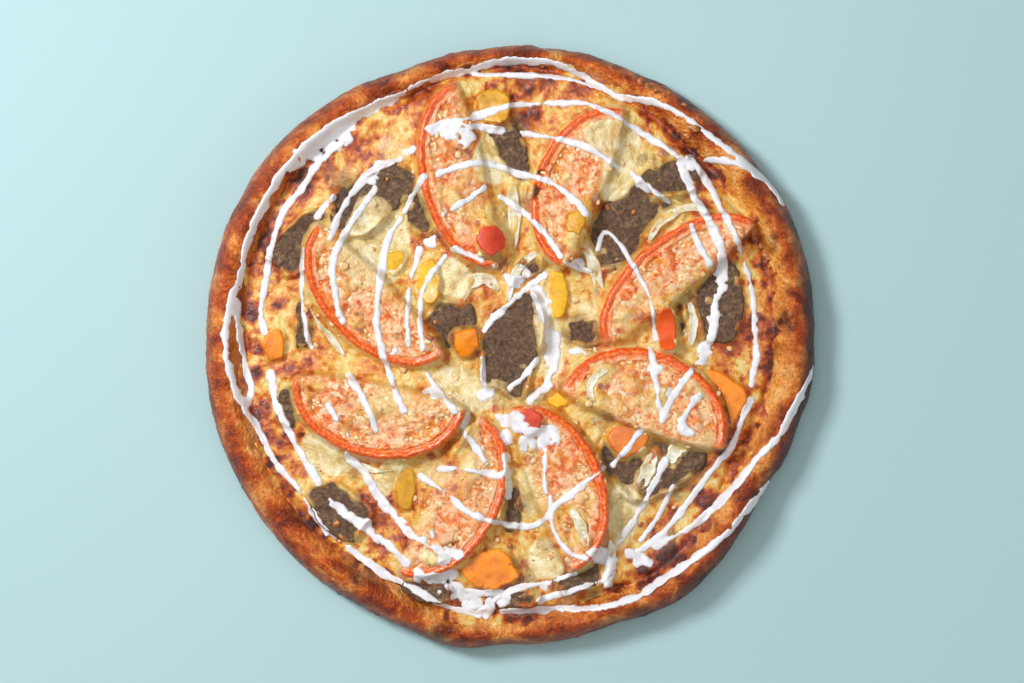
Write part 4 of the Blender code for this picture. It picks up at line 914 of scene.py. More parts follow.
class Paint:
    """Builds one material. Each method adds a node and gives back what comes out of it."""

    def __init__(self, name, **sockets):
        """Starts the material, with plain values for the shader's own sockets."""
        self.material = bpy.data.materials.new(name)
        self.material.use_nodes = True
        self.tree = self.material.node_tree
        self.shader = self.tree.nodes["Principled BSDF"]
        for label, value in sockets.items():
            self.shader.inputs[label.replace("_", " ")].default_value = value
        self.coordinates = self.tree.nodes.new("ShaderNodeTexCoord").outputs["Object"]

    def put(self, value, socket):
        """Links an output to a socket, or sets the socket to a plain value."""
        if isinstance(value, bpy.types.NodeSocket):
            self.tree.links.new(value, socket)
        else:
            socket.default_value = value

    def attribute(self, label):
        """A number that was given to each point of the piece."""
        node = self.tree.nodes.new("ShaderNodeAttribute")
        node.attribute_name = label
        return node.outputs["Fac"]

    def noise(self, size, detail=3.0, roughness=0.55, distortion=0.0):
        """Noise from 0 to 1 with features of a size in metres."""
        node = self.tree.nodes.new("ShaderNodeTexNoise")
        self.put(self.coordinates, node.inputs["Vector"])
        node.inputs["Scale"].default_value = 1.0 / size
        node.inputs["Detail"].default_value = detail
        node.inputs["Roughness"].default_value = roughness
        node.inputs["Distortion"].default_value = distortion
        return node.outputs["Fac"]

    def cells(self, size):
        """Distance from the middle of the nearest cell, for bubbles and grains of a size in metres."""
        node = self.tree.nodes.new("ShaderNodeTexVoronoi")
        self.put(self.coordinates, node.inputs["Vector"])
        node.inputs["Scale"].default_value = 1.0 / size
        return node.outputs["Distance"]

    def math(self, operation, first, second, clamp=False):
        """One sum or product of two values, held between 0 and 1 if asked."""
        node = self.tree.nodes.new("ShaderNodeMath")
        node.operation = operation
        node.use_clamp = clamp
        self.put(first, node.inputs[0])
        self.put(second, node.inputs[1])
        return node.outputs[0]

    def between(self, value, low, high, start=0.0, stop=1.0):
        """Maps a range of values to another one, and holds it there."""
        node = self.tree.nodes.new("ShaderNodeMapRange")
        self.put(value, node.inputs["Value"])
        for label, given in (("From Min", low), ("From Max", high), ("To Min", start), ("To Max", stop)):
            node.inputs[label].default_value = given
        return node.outputs["Result"]

    def ramp(self, value, *stops):
        """A colour by value, from (position, screen colour) stops."""
        node = self.tree.nodes.new("ShaderNodeValToRGB")
        elements = node.color_ramp.elements
        while len(elements) < len(stops):
            elements.new(0.5)
        for element, (position, colour) in zip(elements, stops):
            element.position = position
            element.color = linear(*colour)
        self.put(value, node.inputs["Fac"])
        return node.outputs["Color"]

    def mix(self, share, first, second):
        """The first colour, with the second over it by a share."""
        node = self.tree.nodes.new("ShaderNodeMix")
        node.data_type = "RGBA"
        self.put(share, node.inputs["Factor"])
        for colour, label in ((first, "A"), (second, "B")):
            socket = next(s for s in node.inputs if s.name == label and s.type == "RGBA")
            self.put(linear(*colour) if isinstance(colour, tuple) else colour, socket)
        return next(s for s in node.outputs if s.type == "RGBA")

    def bump(self, height, distance, below=None):
        """Bends the light as a relief of a depth in metres would."""
        node = self.tree.nodes.new("ShaderNodeBump")
        self.put(height, node.inputs["Height"])
        node.inputs["Distance"].default_value = distance
        if below is not None:
            self.put(below, node.inputs["Normal"])
        return node.outputs["Normal"]

    def done(self, colour, roughness=None, normal=None):
        """Puts the colour, the roughness and the relief on the shader, and gives back the material."""
        self.put(colour, self.shader.inputs["Base Color"])
        if roughness is not None:
            self.put(roughness, self.shader.inputs["Roughness"])
        if normal is not None:
            self.put(normal, self.shader.inputs["Normal"])
            self.put(normal, self.shader.inputs["Coat Normal"])
        return self.material


def crust_finish():
    """Baked bread with an egg-like gloss: brown with darker freckles, golden inwards, scorched outwards, with
    painted shade on the outer side that is strongest on the right and lower right.
    """
    paint = Paint("baked_crust", Coat_Weight=0.3, Coat_Roughness=0.14, Specular_IOR_Level=0.2)
    patches = paint.noise(0.012, 5.0, 0.62, 0.5)
    freckles = paint.noise(0.0015, 4.0, 0.65)
    brown = paint.ramp(patches, (0.34, (104, 32, 4)), (0.44, (162, 62, 10)), (0.54, (200, 90, 18)),
                       (0.66, (236, 144, 52)))
    gold = paint.ramp(patches, (0.34, (216, 118, 34)), (0.5, (243, 166, 76)), (0.66, (252, 210, 134)))
    gilded = paint.math("ADD", paint.attribute("gold"), paint.between(patches, 0.3, 0.7, -0.25, 0.25), True)
    colour = paint.mix(gilded, brown, gold)
    # The outer side darkens by scorching and by painted shade
    uneven = paint.between(paint.noise(0.007, 4.0), 0.3, 0.7, -0.3, 0.3)
    burnt_and_shaded = paint.math("ADD", paint.attribute("scorch"), uneven, True)
    colour = paint.mix(burnt_and_shaded, colour, (76, 22, 8))
    colour = paint.mix(paint.between(freckles, 0.5, 0.66, 0.0, 0.5), colour, (110, 36, 6))
    grain = paint.bump(freckles, 0.0008)
    skin = paint.bump(paint.cells(0.0014), 0.0005, grain)
    return paint.done(colour, paint.between(freckles, 0.3, 0.7, 0.26, 0.5), skin)


def cheese_finish():
    """Melted cheese: pale where it is smooth, golden to dark brown where it has blistered, and tinted by
    what lies close under it."""
    paint = Paint("melted_cheese", Coat_Weight=0.35, Coat_Roughness=0.12, Subsurface_Weight=0.12,
                  Subsurface_Radius=(0.004, 0.002, 0.001), Subsurface_Scale=0.6)
    fine = paint.noise(0.0022, 4.0, 0.6)
    blotches = paint.noise(0.006, 4.0, 0.6, 0.6)
    browning = paint.math("ADD", paint.attribute("browning"), paint.between(fine, 0.3, 0.7, -0.15, 0.15))
    browning = paint.math("ADD", browning, paint.between(blotches, 0.3, 0.7, -0.12, 0.12), True)
    colour = paint.ramp(browning, (0.0, (226, 200, 128)), (0.15, (224, 180, 90)), (0.3, (218, 146, 52)),
                        (0.45, (200, 108, 32)), (0.6, (172, 74, 24)), (0.78, (126, 46, 22)),
                        (0.95, (70, 27, 18)))
    melt = paint.ramp(blotches, (0.36, (206, 172, 100)), (0.48, (226, 204, 146)), (0.62, (240, 228, 188)))
    colour = paint.mix(paint.attribute("smooth"), colour, melt)
    reddened = paint.ramp(fine, (0.37, (206, 92, 36)), (0.46, (230, 142, 80)), (0.54, (238, 192, 140)),
                          (0.66, (244, 226, 194)))
    colour = paint.mix(paint.attribute("over_tomato"), colour, reddened)
    shaded = paint.ramp(fine, (0.37, (72, 48, 30)), (0.48, (116, 86, 54)), (0.62, (166, 134, 88)))
    colour = paint.mix(paint.attribute("over_meat"), colour, shaded)
    speck = paint.between(paint.noise(0.0009, 1.0), 0.72, 0.8, 0.0, 0.55)
    colour = paint.mix(speck, colour, (126, 84, 44))
    normal = paint.bump(fine, 0.0007, paint.bump(paint.noise(0.0011, 2.0), 0.0002))
    return paint.done(colour, paint.between(browning, 0.1, 0.8, 0.3, 0.5), normal)


def tomato_finish():
    """Baked tomato: a shiny orange-red skin whose lighter streaks are partly painted highlights, flesh that
    is bright in places and milky in others, orange jelly in the hollows, and painted shade in the deep gaps."""
    paint = Paint("baked_tomato", Coat_Weight=0.35, Coat_Roughness=0.16, Subsurface_Weight=0.08,
                  Subsurface_Radius=(0.004, 0.0015, 0.0008), Subsurface_Scale=0.7)
    fine = paint.noise(0.0034, 5.0, 0.6, 0.9)
    broad = paint.noise(0.006, 4.0, 0.55, 0.8)
    flesh = paint.ramp(fine, (0.36, (198, 84, 20)), (0.46, (226, 124, 48)), (0.55, (234, 160, 92)),
                       (0.67, (240, 206, 156)))
    vivid = paint.ramp(fine, (0.36, (202, 70, 10)), (0.48, (230, 104, 28)), (0.62, (240, 152, 74)))
    colour = paint.mix(paint.attribute("bright"), flesh, vivid)
    jelly = paint.ramp(fine, (0.3, (196, 84, 8)), (0.7, (240, 158, 36)))
    colour = paint.mix(paint.attribute("jelly"), colour, jelly)
    milky = paint.math("ADD", paint.between(broad, 0.49, 0.58, 0.0, 0.6),
                       paint.math("MULTIPLY", paint.attribute("pale"), 0.55), True)
    colour = paint.mix(milky, colour, (238, 210, 170))
    # Streaks on the skin: a fine relief, and a lighter orange that is partly painted highlight
    streaks_and_glints = paint.noise(0.0014, 3.0, 0.6)
    skin = paint.ramp(streaks_and_glints, (0.34, (206, 64, 8)), (0.5, (234, 92, 18)), (0.66, (242, 140, 62)))
    colour = paint.mix(paint.attribute("skin"), colour, skin)
    # Painted shade down the deep gaps
    colour = paint.mix(paint.attribute("gap_shade"), colour, (84, 50, 30))
    relief = paint.math("MULTIPLY", fine, paint.between(paint.attribute("skin"), 0.0, 1.0, 1.0, 0.1))
    normal = paint.bump(relief, 0.001, paint.bump(streaks_and_glints, 0.0002))
    return paint.done(colour, paint.between(fine, 0.3, 0.7, 0.22, 0.42), normal)


def meat_finish():
    """Sliced pressed meat: grey-brown with a close speckle, darker patches and crisp edges."""
    paint = Paint("sliced_meat", Coat_Weight=0.12, Coat_Roughness=0.3)
    grain = paint.noise(0.0018, 5.0, 0.7, 0.4)
    broad = paint.noise(0.007, 4.0, 0.6)
    colour = paint.ramp(grain, (0.34, (50, 31, 19)), (0.45, (86, 60, 37)), (0.54, (112, 83, 53)),
                        (0.66, (154, 122, 83)))
    colour = paint.mix(paint.between(broad, 0.42, 0.62, 0.0, 0.55), colour, (78, 42, 26))
    colour = paint.mix(paint.attribute("crisp"), colour, (66, 34, 20))
    normal = paint.bump(grain, 0.001)
    return paint.done(colour, paint.between(grain, 0.3, 0.7, 0.3, 0.55), normal)


def pepper_finish(name):
    """Cooked sweet pepper in one of its colours: smooth and slightly shiny, browned here and there."""
    red, green, blue = PEPPER_COLOURS[name]
    paint = Paint(f"{name}_pepper", Coat_Weight=0.15, Coat_Roughness=0.3, Subsurface_Weight=0.1,
                  Subsurface_Radius=(0.003, 0.0015, 0.0005), Subsurface_Scale=0.6)
    broad = paint.noise(0.006, 3.0)
    colour = paint.ramp(broad, (0.3, (red * 0.86, green * 0.8, blue * 0.7)), (0.6, (red, green, blue)),
                        (0.85, (min(255, red * 1.03), min(255, green * 1.1), blue * 1.5 + 8)))
    colour = paint.mix(paint.between(paint.noise(0.0035, 3.0), 0.6, 0.75, 0.0, 0.4), colour, (168, 84, 24))
    return paint.done(colour, 0.34, paint.bump(broad, 0.0004))


def onion_finish():
    """Cooked onion: cream-coloured, half clear and moist, with charred tips."""
    paint = Paint("cooked_onion", Coat_Weight=0.5, Coat_Roughness=0.15, Subsurface_Weight=0.25,
                  Subsurface_Radius=(0.005, 0.004, 0.002), Subsurface_Scale=0.8)
    broad = paint.noise(0.005, 3.0)
    colour = paint.ramp(broad, (0.34, (196, 176, 132)), (0.48, (224, 212, 176)), (0.62, (240, 235, 214)))
    colour = paint.mix(paint.attribute("charred"), colour, (34, 26, 20))
    return paint.done(colour, 0.28, paint.bump(paint.noise(0.0014, 3.0), 0.0005))


def sauce_finish():
    """Thick white sauce: smooth, slightly glossy and very faintly blue."""
    paint = Paint("white_sauce", Coat_Weight=0.2, Coat_Roughness=0.25, Subsurface_Weight=0.2,
                  Subsurface_Radius=(0.003, 0.003, 0.003), Subsurface_Scale=0.6)
    broad = paint.noise(0.004, 3.0)
    colour = paint.ramp(broad, (0.3, (222, 222, 228)), (0.7, (240, 240, 244)))
    return paint.done(colour, 0.36, paint.bump(broad, 0.0003))


def seed_finish():
    """Tomato seeds: pale and moist."""
    paint = Paint("tomato_seed", Coat_Weight=0.5, Coat_Roughness=0.15)
    return paint.done(paint.ramp(paint.noise(0.0012), (0.3, (232, 176, 118)), (0.7, (244, 214, 164))), 0.3)


def crumb_finish():
    """Fried scraps of cheese and crust: orange-brown."""
    paint = Paint("browned_crumb", Coat_Weight=0.25, Coat_Roughness=0.25)
    tone = paint.noise(0.002, 3.0)
    colour = paint.ramp(tone, (0.25, (108, 52, 22)), (0.5, (168, 96, 46)), (0.75, (214, 156, 92)))
    return paint.done(colour, 0.4, paint.bump(tone, 0.0005))


def rim_section():
    """The rim's section as a smooth curve: share inwards and share of the height, from foot to cheese."""
    return smooth_line(np.array(RIM_SECTION), RIM_RINGS)


def crust_height(x, y):
    """Top of the rim at a place on it, read from its section."""
    reach, degrees = seen_from_middle(x, y)
    radius, width, height = rim_measures(degrees)
    section = rim_section()
    section = section[np.argmin(section[:, 0]):]
    return np.interp((radius - reach) / width, section[:, 0], section[:, 1]) * height


def build_crust(finish):
    """The bread. Ring by ring the rim's section is carried round the pizza; each point is then moved along
    the section's normal by noise, so that the skin has swells, wrinkles and small blisters."""
    degrees = np.arange(RIM_SIDES) * 360.0 / RIM_SIDES
    turn = np.radians(degrees)
    radius, width, height = rim_measures(degrees)
    section = rim_section()
    slope = np.gradient(section, axis=0)
    inward = section[:, 0][:, None] * width
    up = section[:, 1][:, None] * height
    out_x = slope[:, 1][:, None] * height
    out_z = slope[:, 0][:, None] * width
    length = np.hypot(out_x, out_z)
    flat = np.stack([np.cos(turn), np.sin(turn)], axis=1)
    middle = np.concatenate([-BOX_MIDDLE, [0.0]])

    def ring_points(reach, level):
        """Points at a reach and a level in each direction."""
        across = reach[..., None] * flat
        return np.concatenate([across, np.broadcast_to(level, reach.shape)[..., None]], axis=-1) + middle

    plain = ring_points(radius - inward, up)
    swell = rough_noise(plain, 16 * MM, 2, 41) * 0.45 * MM
    wrinkle = np.abs(rough_noise(plain, 4.5 * MM, 3, 43)) * 0.4 * MM
    blister = smooth_step(noise(plain, 3.2 * MM, 47) * 2.4 - 1.1) * 0.35 * MM
    off_floor = smooth_step(up / (3 * MM))
    push = (swell - wrinkle + blister - 0.35 * MM) * off_floor
    body = ring_points(radius - inward + push * out_x / length, np.maximum(up + push * out_z / length, 0.0))
    body = np.clip(body, CAD_BOUNDS[0], CAD_BOUNDS[1])
    foot = radius - width
    rings = np.concatenate([
        ring_points(radius * 0.5, 0.0)[None], body,
        ring_points(foot, DOUGH_THICKNESS)[None], ring_points(foot * 0.5, DOUGH_THICKNESS)[None],
    ])
    points, faces = ring_skin(rings, (0.0, 0.0, 0.0), (0.0, 0.0, DOUGH_THICKNESS))

    share_in = np.broadcast_to(section[:, 0][:, None], up.shape)
    gold = by_direction(RIM_GOLD, degrees) * smooth_step((share_in - 0.42) / 0.45)
    gold = gold * smooth_step(up / (8 * MM))
    # Scorching on the outer side, with painted shade where it is strongest on the right and lower right
    scorch = by_direction(RIM_SCORCH_AND_SHADE, degrees) * smooth_step((0.42 - share_in) / 0.35)
    # Painted shade along the foot of the outer side, all round
    scorch = scorch + 0.1 * smooth_step((0.3 - share_in) / 0.3)
    scorch = scorch + spots(RIM_SPOTS, plain[..., 0], plain[..., 1])
    inner = np.zeros(2 * RIM_SIDES + 1)
    gold = np.concatenate([np.zeros(RIM_SIDES + 1), gold.ravel(), inner])
    scorch = np.concatenate([np.full(RIM_SIDES + 1, 0.2), scorch.ravel(), inner])
    add_piece("bread", points, faces, finish, "baked_crust", ["crust"], gold=gold, scorch=scorch)


def spots(table, x, y):
    """The strongest of some round spots at each place, with edges made uneven by noise."""
    bend = rough_noise(flat_points(x, y), 5 * MM, 3, 71) * 2.2 * MM
    sway = rough_noise(flat_points(x, y, 9 * MM), 5 * MM, 3, 73) * 2.2 * MM
    strongest = np.zeros(np.shape(x))
    for pixel_x, pixel_y, radius, strength in table:
        at = place((pixel_x, pixel_y))
        away = np.hypot(x + bend - at[0], y + sway - at[1]) / (radius * PIXEL)
        strongest = np.maximum(strongest, strength * smooth_step(1.45 - away))
    return strongest


def lies_within(pixels, x, y):
    """1 inside an outline and 0 outside it, with a narrow soft edge: how often the outline is crossed on the
    way to the right tells the side, and the distance to it tells how deep."""
    outline = rounded_outline(place(pixels), 60, 7)
    inside = np.zeros(x.shape, dtype=bool)
    for a, b in zip(outline, np.roll(outline, -1, axis=0)):
        level = (a[1] > y) != (b[1] > y)
        rise = b[1] - a[1] if b[1] != a[1] else 1.0
        inside ^= level & (x < a[0] + (y - a[1]) * (b[0] - a[0]) / rise)
    away = distance_to_line(np.concatenate([outline, outline[:1]]), x, y)
    away = np.where(inside, away, -away) + 0.5 * MM * rough_noise(flat_points(x, y), 3 * MM, 2, 77)
    return smooth_step(0.5 + away / (1.4 * MM))


def lay_slabs():
    """Where the cheese is smooth, from 0 to 1: the outlined slabs, and the smaller places."""
    slabs = np.clip(spots(SMOOTH_PATCHES, GRID_X, GRID_Y), 0.0, 1.0)
    for pixels in SLABS:
        part = window(place(pixels), 3 * MM)
        slabs[part] = np.maximum(slabs[part], lies_within(pixels, GRID_X[part], GRID_Y[part]))
    return slabs


def make_toppings():
    """Every topping, as lists of its kinds."""
    meats = [Meat(f"meat_slice_{n}", sizes, n) for n, sizes in enumerate(MEATS, 1)]
    peppers = []
    for n, (corners, thick, colour) in enumerate(PEPPERS, 1):
        outline = rounded_outline(place(corners), 120, 15)
        pepper = Pepper(f"pepper_piece_{n}", outline, thick * MM, 1.0 * MM, rag=0.7 * MM, seed=n)
        pepper.colour = colour
        peppers.append(pepper)
    onions = [Onion(f"onion_strip_{n}", pixels, width) for n, (pixels, width) in enumerate(ONIONS, 1)]
    tomatoes = []
    for n, ((outer, inner, reach), hollows) in enumerate(zip(TOMATOES, SEED_HOLLOWS), 1):
        tomatoes.append(Tomato(f"tomato_slice_{n}", outer, inner, reach, hollows, n))
    return meats, peppers, onions, tomatoes


def pile_up(pieces, slabs):
    """Height of the highest topping at each place, how far the cheese stays below it there, and masks of what
    is tomato, what is meat, and what is anything else."""
    shape = GRID_X.shape
    top, bare, kind = np.zeros(shape), np.zeros(shape), np.zeros(shape)
    cover = rough_noise(GRID_POINTS, 4.5 * MM, 3, 81) - 2.0 * slabs
    for piece in pieces:
        part = window(piece.corners, 1.5 * piece.thickness)
        x, y = GRID_X[part], GRID_Y[part]
        inset = piece.inset(x, y)
        height = piece.top(x, y)
        wins = (inset > 0.0) & (height > top[part])
        top[part] = np.where(wins, height, top[part])
        bare[part] = np.where(wins, piece.bareness(x, y, inset, cover[part]), bare[part])
        number = 3.0 - 2.0 * isinstance(piece, Tomato) - isinstance(piece, Meat)
        kind[part] = np.where(wins, number, kind[part])
    return top, bare, (kind == 1.0).astype(float), (kind == 2.0).astype(float), (kind == 3.0).astype(float)


def cheese_surface(top, bare, slabs, tomatoes, is_small):
    """Top of the cheese: it fills the dips between the toppings and bridges up to them as a blurred cloth
    would, and stays below them by the depth given, so that they stick out of it, or covers them where that is
    negative. Along the cuts of the tomato slices it runs up in a long slope instead, and hides them."""
    reach, degrees = seen_from_middle(GRID_X, GRID_Y)
    edge = smooth_step((cheese_radius(degrees) - reach) / (4 * MM))
    calm = 1.0 - 0.8 * slabs
    bubbles = rough_noise(GRID_POINTS, 5 * MM, 3, 85) * 0.45 * MM * calm
    base = plain_cheese(GRID_X, GRID_Y) + (bubbles + slabs * 1.0 * MM) * edge
    lifted = widen(np.maximum(base, top), 0.9 * MM)
    filled = base + np.clip(blur(lifted, 6 * MM) + bubbles - 0.6 * MM - base, 0.0, 4 * MM) * edge
    draped = blur(lifted, 1.2 * MM)
    near = np.clip(blur(widen((top > 0).astype(float), 0.9 * MM), 0.9 * MM) * 1.3, 0.0, 1.0)
    sunk = blur(np.where(top > 0, bare, 0.6 * MM), 0.5 * MM)
    grain = rough_noise(GRID_POINTS, 2.2 * MM, 2, 87) * 0.2 * MM * calm
    blisters = blister_field() * 0.4 * MM * calm
    cloth = np.maximum(base, filled + (draped - sunk - filled) * near)
    slope = np.maximum(filled, blur(widen(lifted, 2.4 * MM), 3.2 * MM) + 0.1 * MM)
    hidden = cut_cover(tomatoes) * (1.0 - np.clip(1.4 * blur(is_small, 0.6 * MM), 0.0, 1.0))
    return over_the_rim(cloth * (1.0 - hidden) + slope * hidden + grain + blisters)


def cut_cover(tomatoes):
    """How much the cheese hides the cuts of the tomato slices: 1 along a cut, and 0 some way off it."""
    uneven = 0.25 * rough_noise(GRID_POINTS, 7 * MM, 2, 83)
    hidden = np.zeros(GRID_X.shape)
    for tomato in tomatoes:
        part = window(tomato.corners, 8 * MM)
        away = distance_to_line(tomato.cut, GRID_X[part], GRID_Y[part])
        hidden[part] = np.maximum(hidden[part], smooth_step(1.3 + uneven[part] - away / (5 * MM)))
    return hidden


def blister_field():
    """Small round blisters on the cheese, 1 at their tops, more of them towards the rim."""
    reach, degrees = seen_from_middle(GRID_X, GRID_Y)
    ring = smooth_step((reach / cheese_radius(degrees) - 0.45) / 0.5)
    return smooth_step(noise(GRID_POINTS, 2.9 * MM, 99) * 2.2 - 0.75) * (0.3 + 0.7 * ring)


def over_the_rim(surface):
    """The edge of the cheese on the bread: a thin skin that climbs the inner slope of the rim, and dips under
    the bread along an uneven line a few millimetres up."""
    reach, degrees = seen_from_middle(GRID_X, GRID_Y)
    out = reach - cheese_radius(degrees)
    ragged = 3.4 * MM * rough_noise(GRID_POINTS, 6 * MM, 4, 89)
    lip = crust_height(GRID_X, GRID_Y) + 0.1 * MM - 1.6 * MM * smooth_step((out + ragged) / CHEESE_LIP)
    share = smooth_step((out + 3 * MM) / (3 * MM))
    return surface * (1.0 - share) + lip * share


def build_cheese(finish, surface, paints):
    """The cheese: a square grid pulled into a disc, its rows of cells becoming rings, with its height read
    from the grid of heights. A wall and a flat underside close it."""
    line = np.linspace(-1.0, 1.0, CHEESE_CELLS + 1)
    a, b = np.meshgrid(line, line, indexing="ij")
    wide = np.abs(a) > np.abs(b)
    long = np.where(wide, a, b)
    short = np.where(wide, b, a)
    with np.errstate(divide="ignore", invalid="ignore"):
        ratio = np.where(long == 0.0, 0.0, short / long)
    turn = np.where(wide, ratio * math.pi / 4, math.pi / 2 - ratio * math.pi / 4)
    flat = np.stack([long * np.cos(turn), long * np.sin(turn)], axis=-1)
    degrees = np.degrees(np.arctan2(flat[..., 1], flat[..., 0])) % 360.0
    reach = cheese_radius(degrees) + CHEESE_LIP + 1 * MM
    x = flat[..., 0] * reach - BOX_MIDDLE[0]
    y = flat[..., 1] * reach - BOX_MIDDLE[1]
    z = sample(surface, x, y)
    count = CHEESE_CELLS + 1
    number = np.arange(count * count).reshape(count, count)
    corners = [number[:-1, :-1], number[1:, :-1], number[1:, 1:], number[:-1, 1:]]
    quads = np.stack(corners, axis=-1).reshape(-1, 4)
    rim = np.concatenate([number[:-1, 0], number[-1, :-1], number[:0:-1, -1], number[0, :0:-1]])
    upper = np.stack([x, y, z], axis=-1).reshape(-1, 3)
    floor = DOUGH_THICKNESS + CHEESE_GAP
    lower = upper[rim] * (1, 1, 0) + (0, 0, floor)
    foot = count * count + np.arange(len(rim))
    after = np.roll(np.arange(len(rim)), -1)
    wall = np.stack([rim, foot, foot[after], rim[after]], axis=-1)
    pole = count * count + len(rim)
    under = np.stack([np.full(len(rim), pole), foot[after], foot], axis=-1)
    points = np.concatenate([upper, lower, [(0.0, 0.0, floor)]])
    tail = np.zeros(len(rim) + 1)
    values = {label: np.concatenate([sample(field, x, y).ravel(), tail]) for label, field in paints.items()}
    faces = (quads, wall, under)
    add_piece("cheese_layer", points, faces, finish, "melted_cheese", ["cheese"], **values)


def cheese_paints(surface, top, slabs, is_tomato, is_meat):
    """What tints the cheese at each place: browning, smooth melted slabs, and tomato or meat close below."""
    thin = np.clip(1.2 - (surface - top) / (1.6 * MM), 0.0, 1.0) * (top > 0)
    over_tomato = blur(is_tomato * thin, 0.6 * MM)
    pale = spots(PALE_PLACES, GRID_X, GRID_Y)
    uneven = 0.95 + 0.7 * rough_noise(GRID_POINTS, 3 * MM, 3, 79)
    shadows = spots(MEAT_SHADOWS, GRID_X, GRID_Y) * np.clip(uneven, 0.0, 1.0)
    over_meat = np.maximum(blur(is_meat * thin, 0.6 * MM) * 0.8, shadows)
    toasted = np.clip(1.3 * spots(BROWNED, GRID_X, GRID_Y), 0.0, 1.0)
    return {
        "browning": browning_field(slabs, over_tomato),
        "smooth": slabs,
        "over_tomato": over_tomato * (1.0 - 0.6 * slabs) * (1.0 - 0.55 * pale) * (1.0 - toasted),
        "over_meat": np.clip(over_meat * (1.0 - 0.35 * slabs), 0.0, 1.0),
    }


def browning_field(slabs, over_tomato):
    """How browned the cheese is, from 0 to 1: more towards the rim, in blotches, in small toasted bits, and
    in the placed spots."""
    reach, degrees = seen_from_middle(GRID_X, GRID_Y)
    ring = smooth_step((reach / cheese_radius(degrees) - 0.62) / 0.38)
    blotches = rough_noise(GRID_POINTS, 9 * MM, 4, 91)
    fine = rough_noise(GRID_POINTS, 2.4 * MM, 3, 95)
    toast = smooth_step(rough_noise(GRID_POINTS, 3.4 * MM, 3, 97) * 1.5 - 0.5)
    seam = smooth_step((reach - cheese_radius(degrees) + 3 * MM) / (3 * MM))
    field = 0.18 + ring * (0.1 + 0.26 * blotches) + 0.2 * blotches + 0.12 * fine + 0.16 * seam
    field = field + toast * (0.34 + 0.3 * over_tomato + 0.1 * ring) + 0.26 * blister_field() * ring
    placed = spots(BROWNED, GRID_X, GRID_Y)
    field = np.maximum(field, placed * 0.8 + 0.2 * fine)
    return np.clip(field * (1.0 - 0.75 * slabs), 0.0, 1.0)


def build_onion(onion, finish):
    """One strip of onion, with its charred tip marked."""
    points, faces = onion.skin()
    charred = spots(CHARRED_TIPS, points[:, 0], points[:, 1])
    add_piece("clear_" + onion.node, points, faces, finish, "onion", [onion.node], charred=charred)


def build_tomato(tomato, finish):
    """One half slice, with its skin, its jelly, the painted shade of its deep gaps, and its pale and bright
    places marked.
    """
    points, faces = tomato.skin(56, 240)
    x, y = points[:, 0], points[:, 1]
    inset = tomato.inset(x, y)
    skin = tomato.skin_share(x, y) * smooth_step(1.7 - inset / Tomato.SKIN_WIDTH)
    paints = {
        "skin": skin,
        "jelly": np.maximum(tomato.hollow(x, y, inset) * 0.8, spots(JELLY_PLACES, x, y)),
        "gap_shade": spots(DEEP_GAPS, x, y),
        "pale": spots(PALE_PLACES, x, y),
        "bright": spots(BRIGHT_PLACES, x, y),
    }
    add_piece("baked_" + tomato.node, points, faces, finish, "tomato", [tomato.node], **paints)


def build_pepper(pepper, finish):
    """One piece of pepper."""
    points, faces = pepper.skin(22, 110)
    add_piece("shiny_" + pepper.node, points, faces, finish, "pepper", [pepper.node])


def build_meat(meat, finish):
    """One slice of meat, with its crisp edges marked."""
    points, faces = meat.skin(26, 150)
    inset = meat.inset(points[:, 0], points[:, 1])
    ragged = noise(points, 3 * MM, 51) * 0.6 * MM
    crisp = smooth_step(1.0 - (inset + ragged) / (1.5 * MM)) * 0.4
    add_piece("grained_" + meat.node, points, faces, finish, "sliced_meat", [meat.node], crisp=crisp)


def pour(strokes, dabs):
    """How thick the sauce of some strokes lies, 1 in the middle of a stroke and 0 at its edge. It falls as
    1 - (distance / half width) squared. The width wavers and in places nearly breaks off. Dabs lie in it as
    round spots, and they and the wide pools have small holes. It stays off the outer wall of the rim."""
    waver = rough_noise(GRID_POINTS, 4.5 * MM, 3, 101)
    ripple = rough_noise(GRID_POINTS, 1.7 * MM, 2, 103)
    thinning = rough_noise(GRID_POINTS, 9 * MM, 2, 105)
    width_share = 0.96 + 0.4 * waver + 0.22 * ripple
    width_share = width_share * (1.0 - 0.75 * smooth_step((-0.56 - thinning) / 0.3))
    holes = 1.6 * smooth_step(noise(GRID_POINTS, 1.9 * MM, 107) * 3.0 - 1.7)
    depth = np.full(GRID_X.shape, -1.0)
    for pixels, width in strokes:
        corners = place(pixels)
        length = np.hypot(*np.diff(corners, axis=0).T).sum()
        line = smooth_line(corners, max(4, int(length / (2.5 * MM))))
        half = STROKE_SHARE * width * MM / 2
        part = window(line, 2.6 * half)
        away = distance_to_line(line, GRID_X[part], GRID_Y[part])
        stroke = 1.0 - (away / (half * width_share[part])) ** 2
        if width > WIDE_POOL:
            stroke = stroke - holes[part]
        depth[part] = np.maximum(depth[part], stroke)
    for pixel_x, pixel_y, radius in dabs:
        part = window(place([(pixel_x, pixel_y)]), radius * PIXEL * 2.0)
        dab = spots(((pixel_x, pixel_y, radius, 1.0),), GRID_X[part], GRID_Y[part])
        depth[part] = np.maximum(depth[part], 1.4 * dab - 0.55 - 0.8 * holes[part])
    reach, degrees = seen_from_middle(GRID_X, GRID_Y)
    room = (rim_measures(degrees)[0] - reach - 1.2 * MM) / (1 * MM)
    return blur(np.clip(np.minimum(depth, room), -1.0, 1.0), 0.4 * MM)


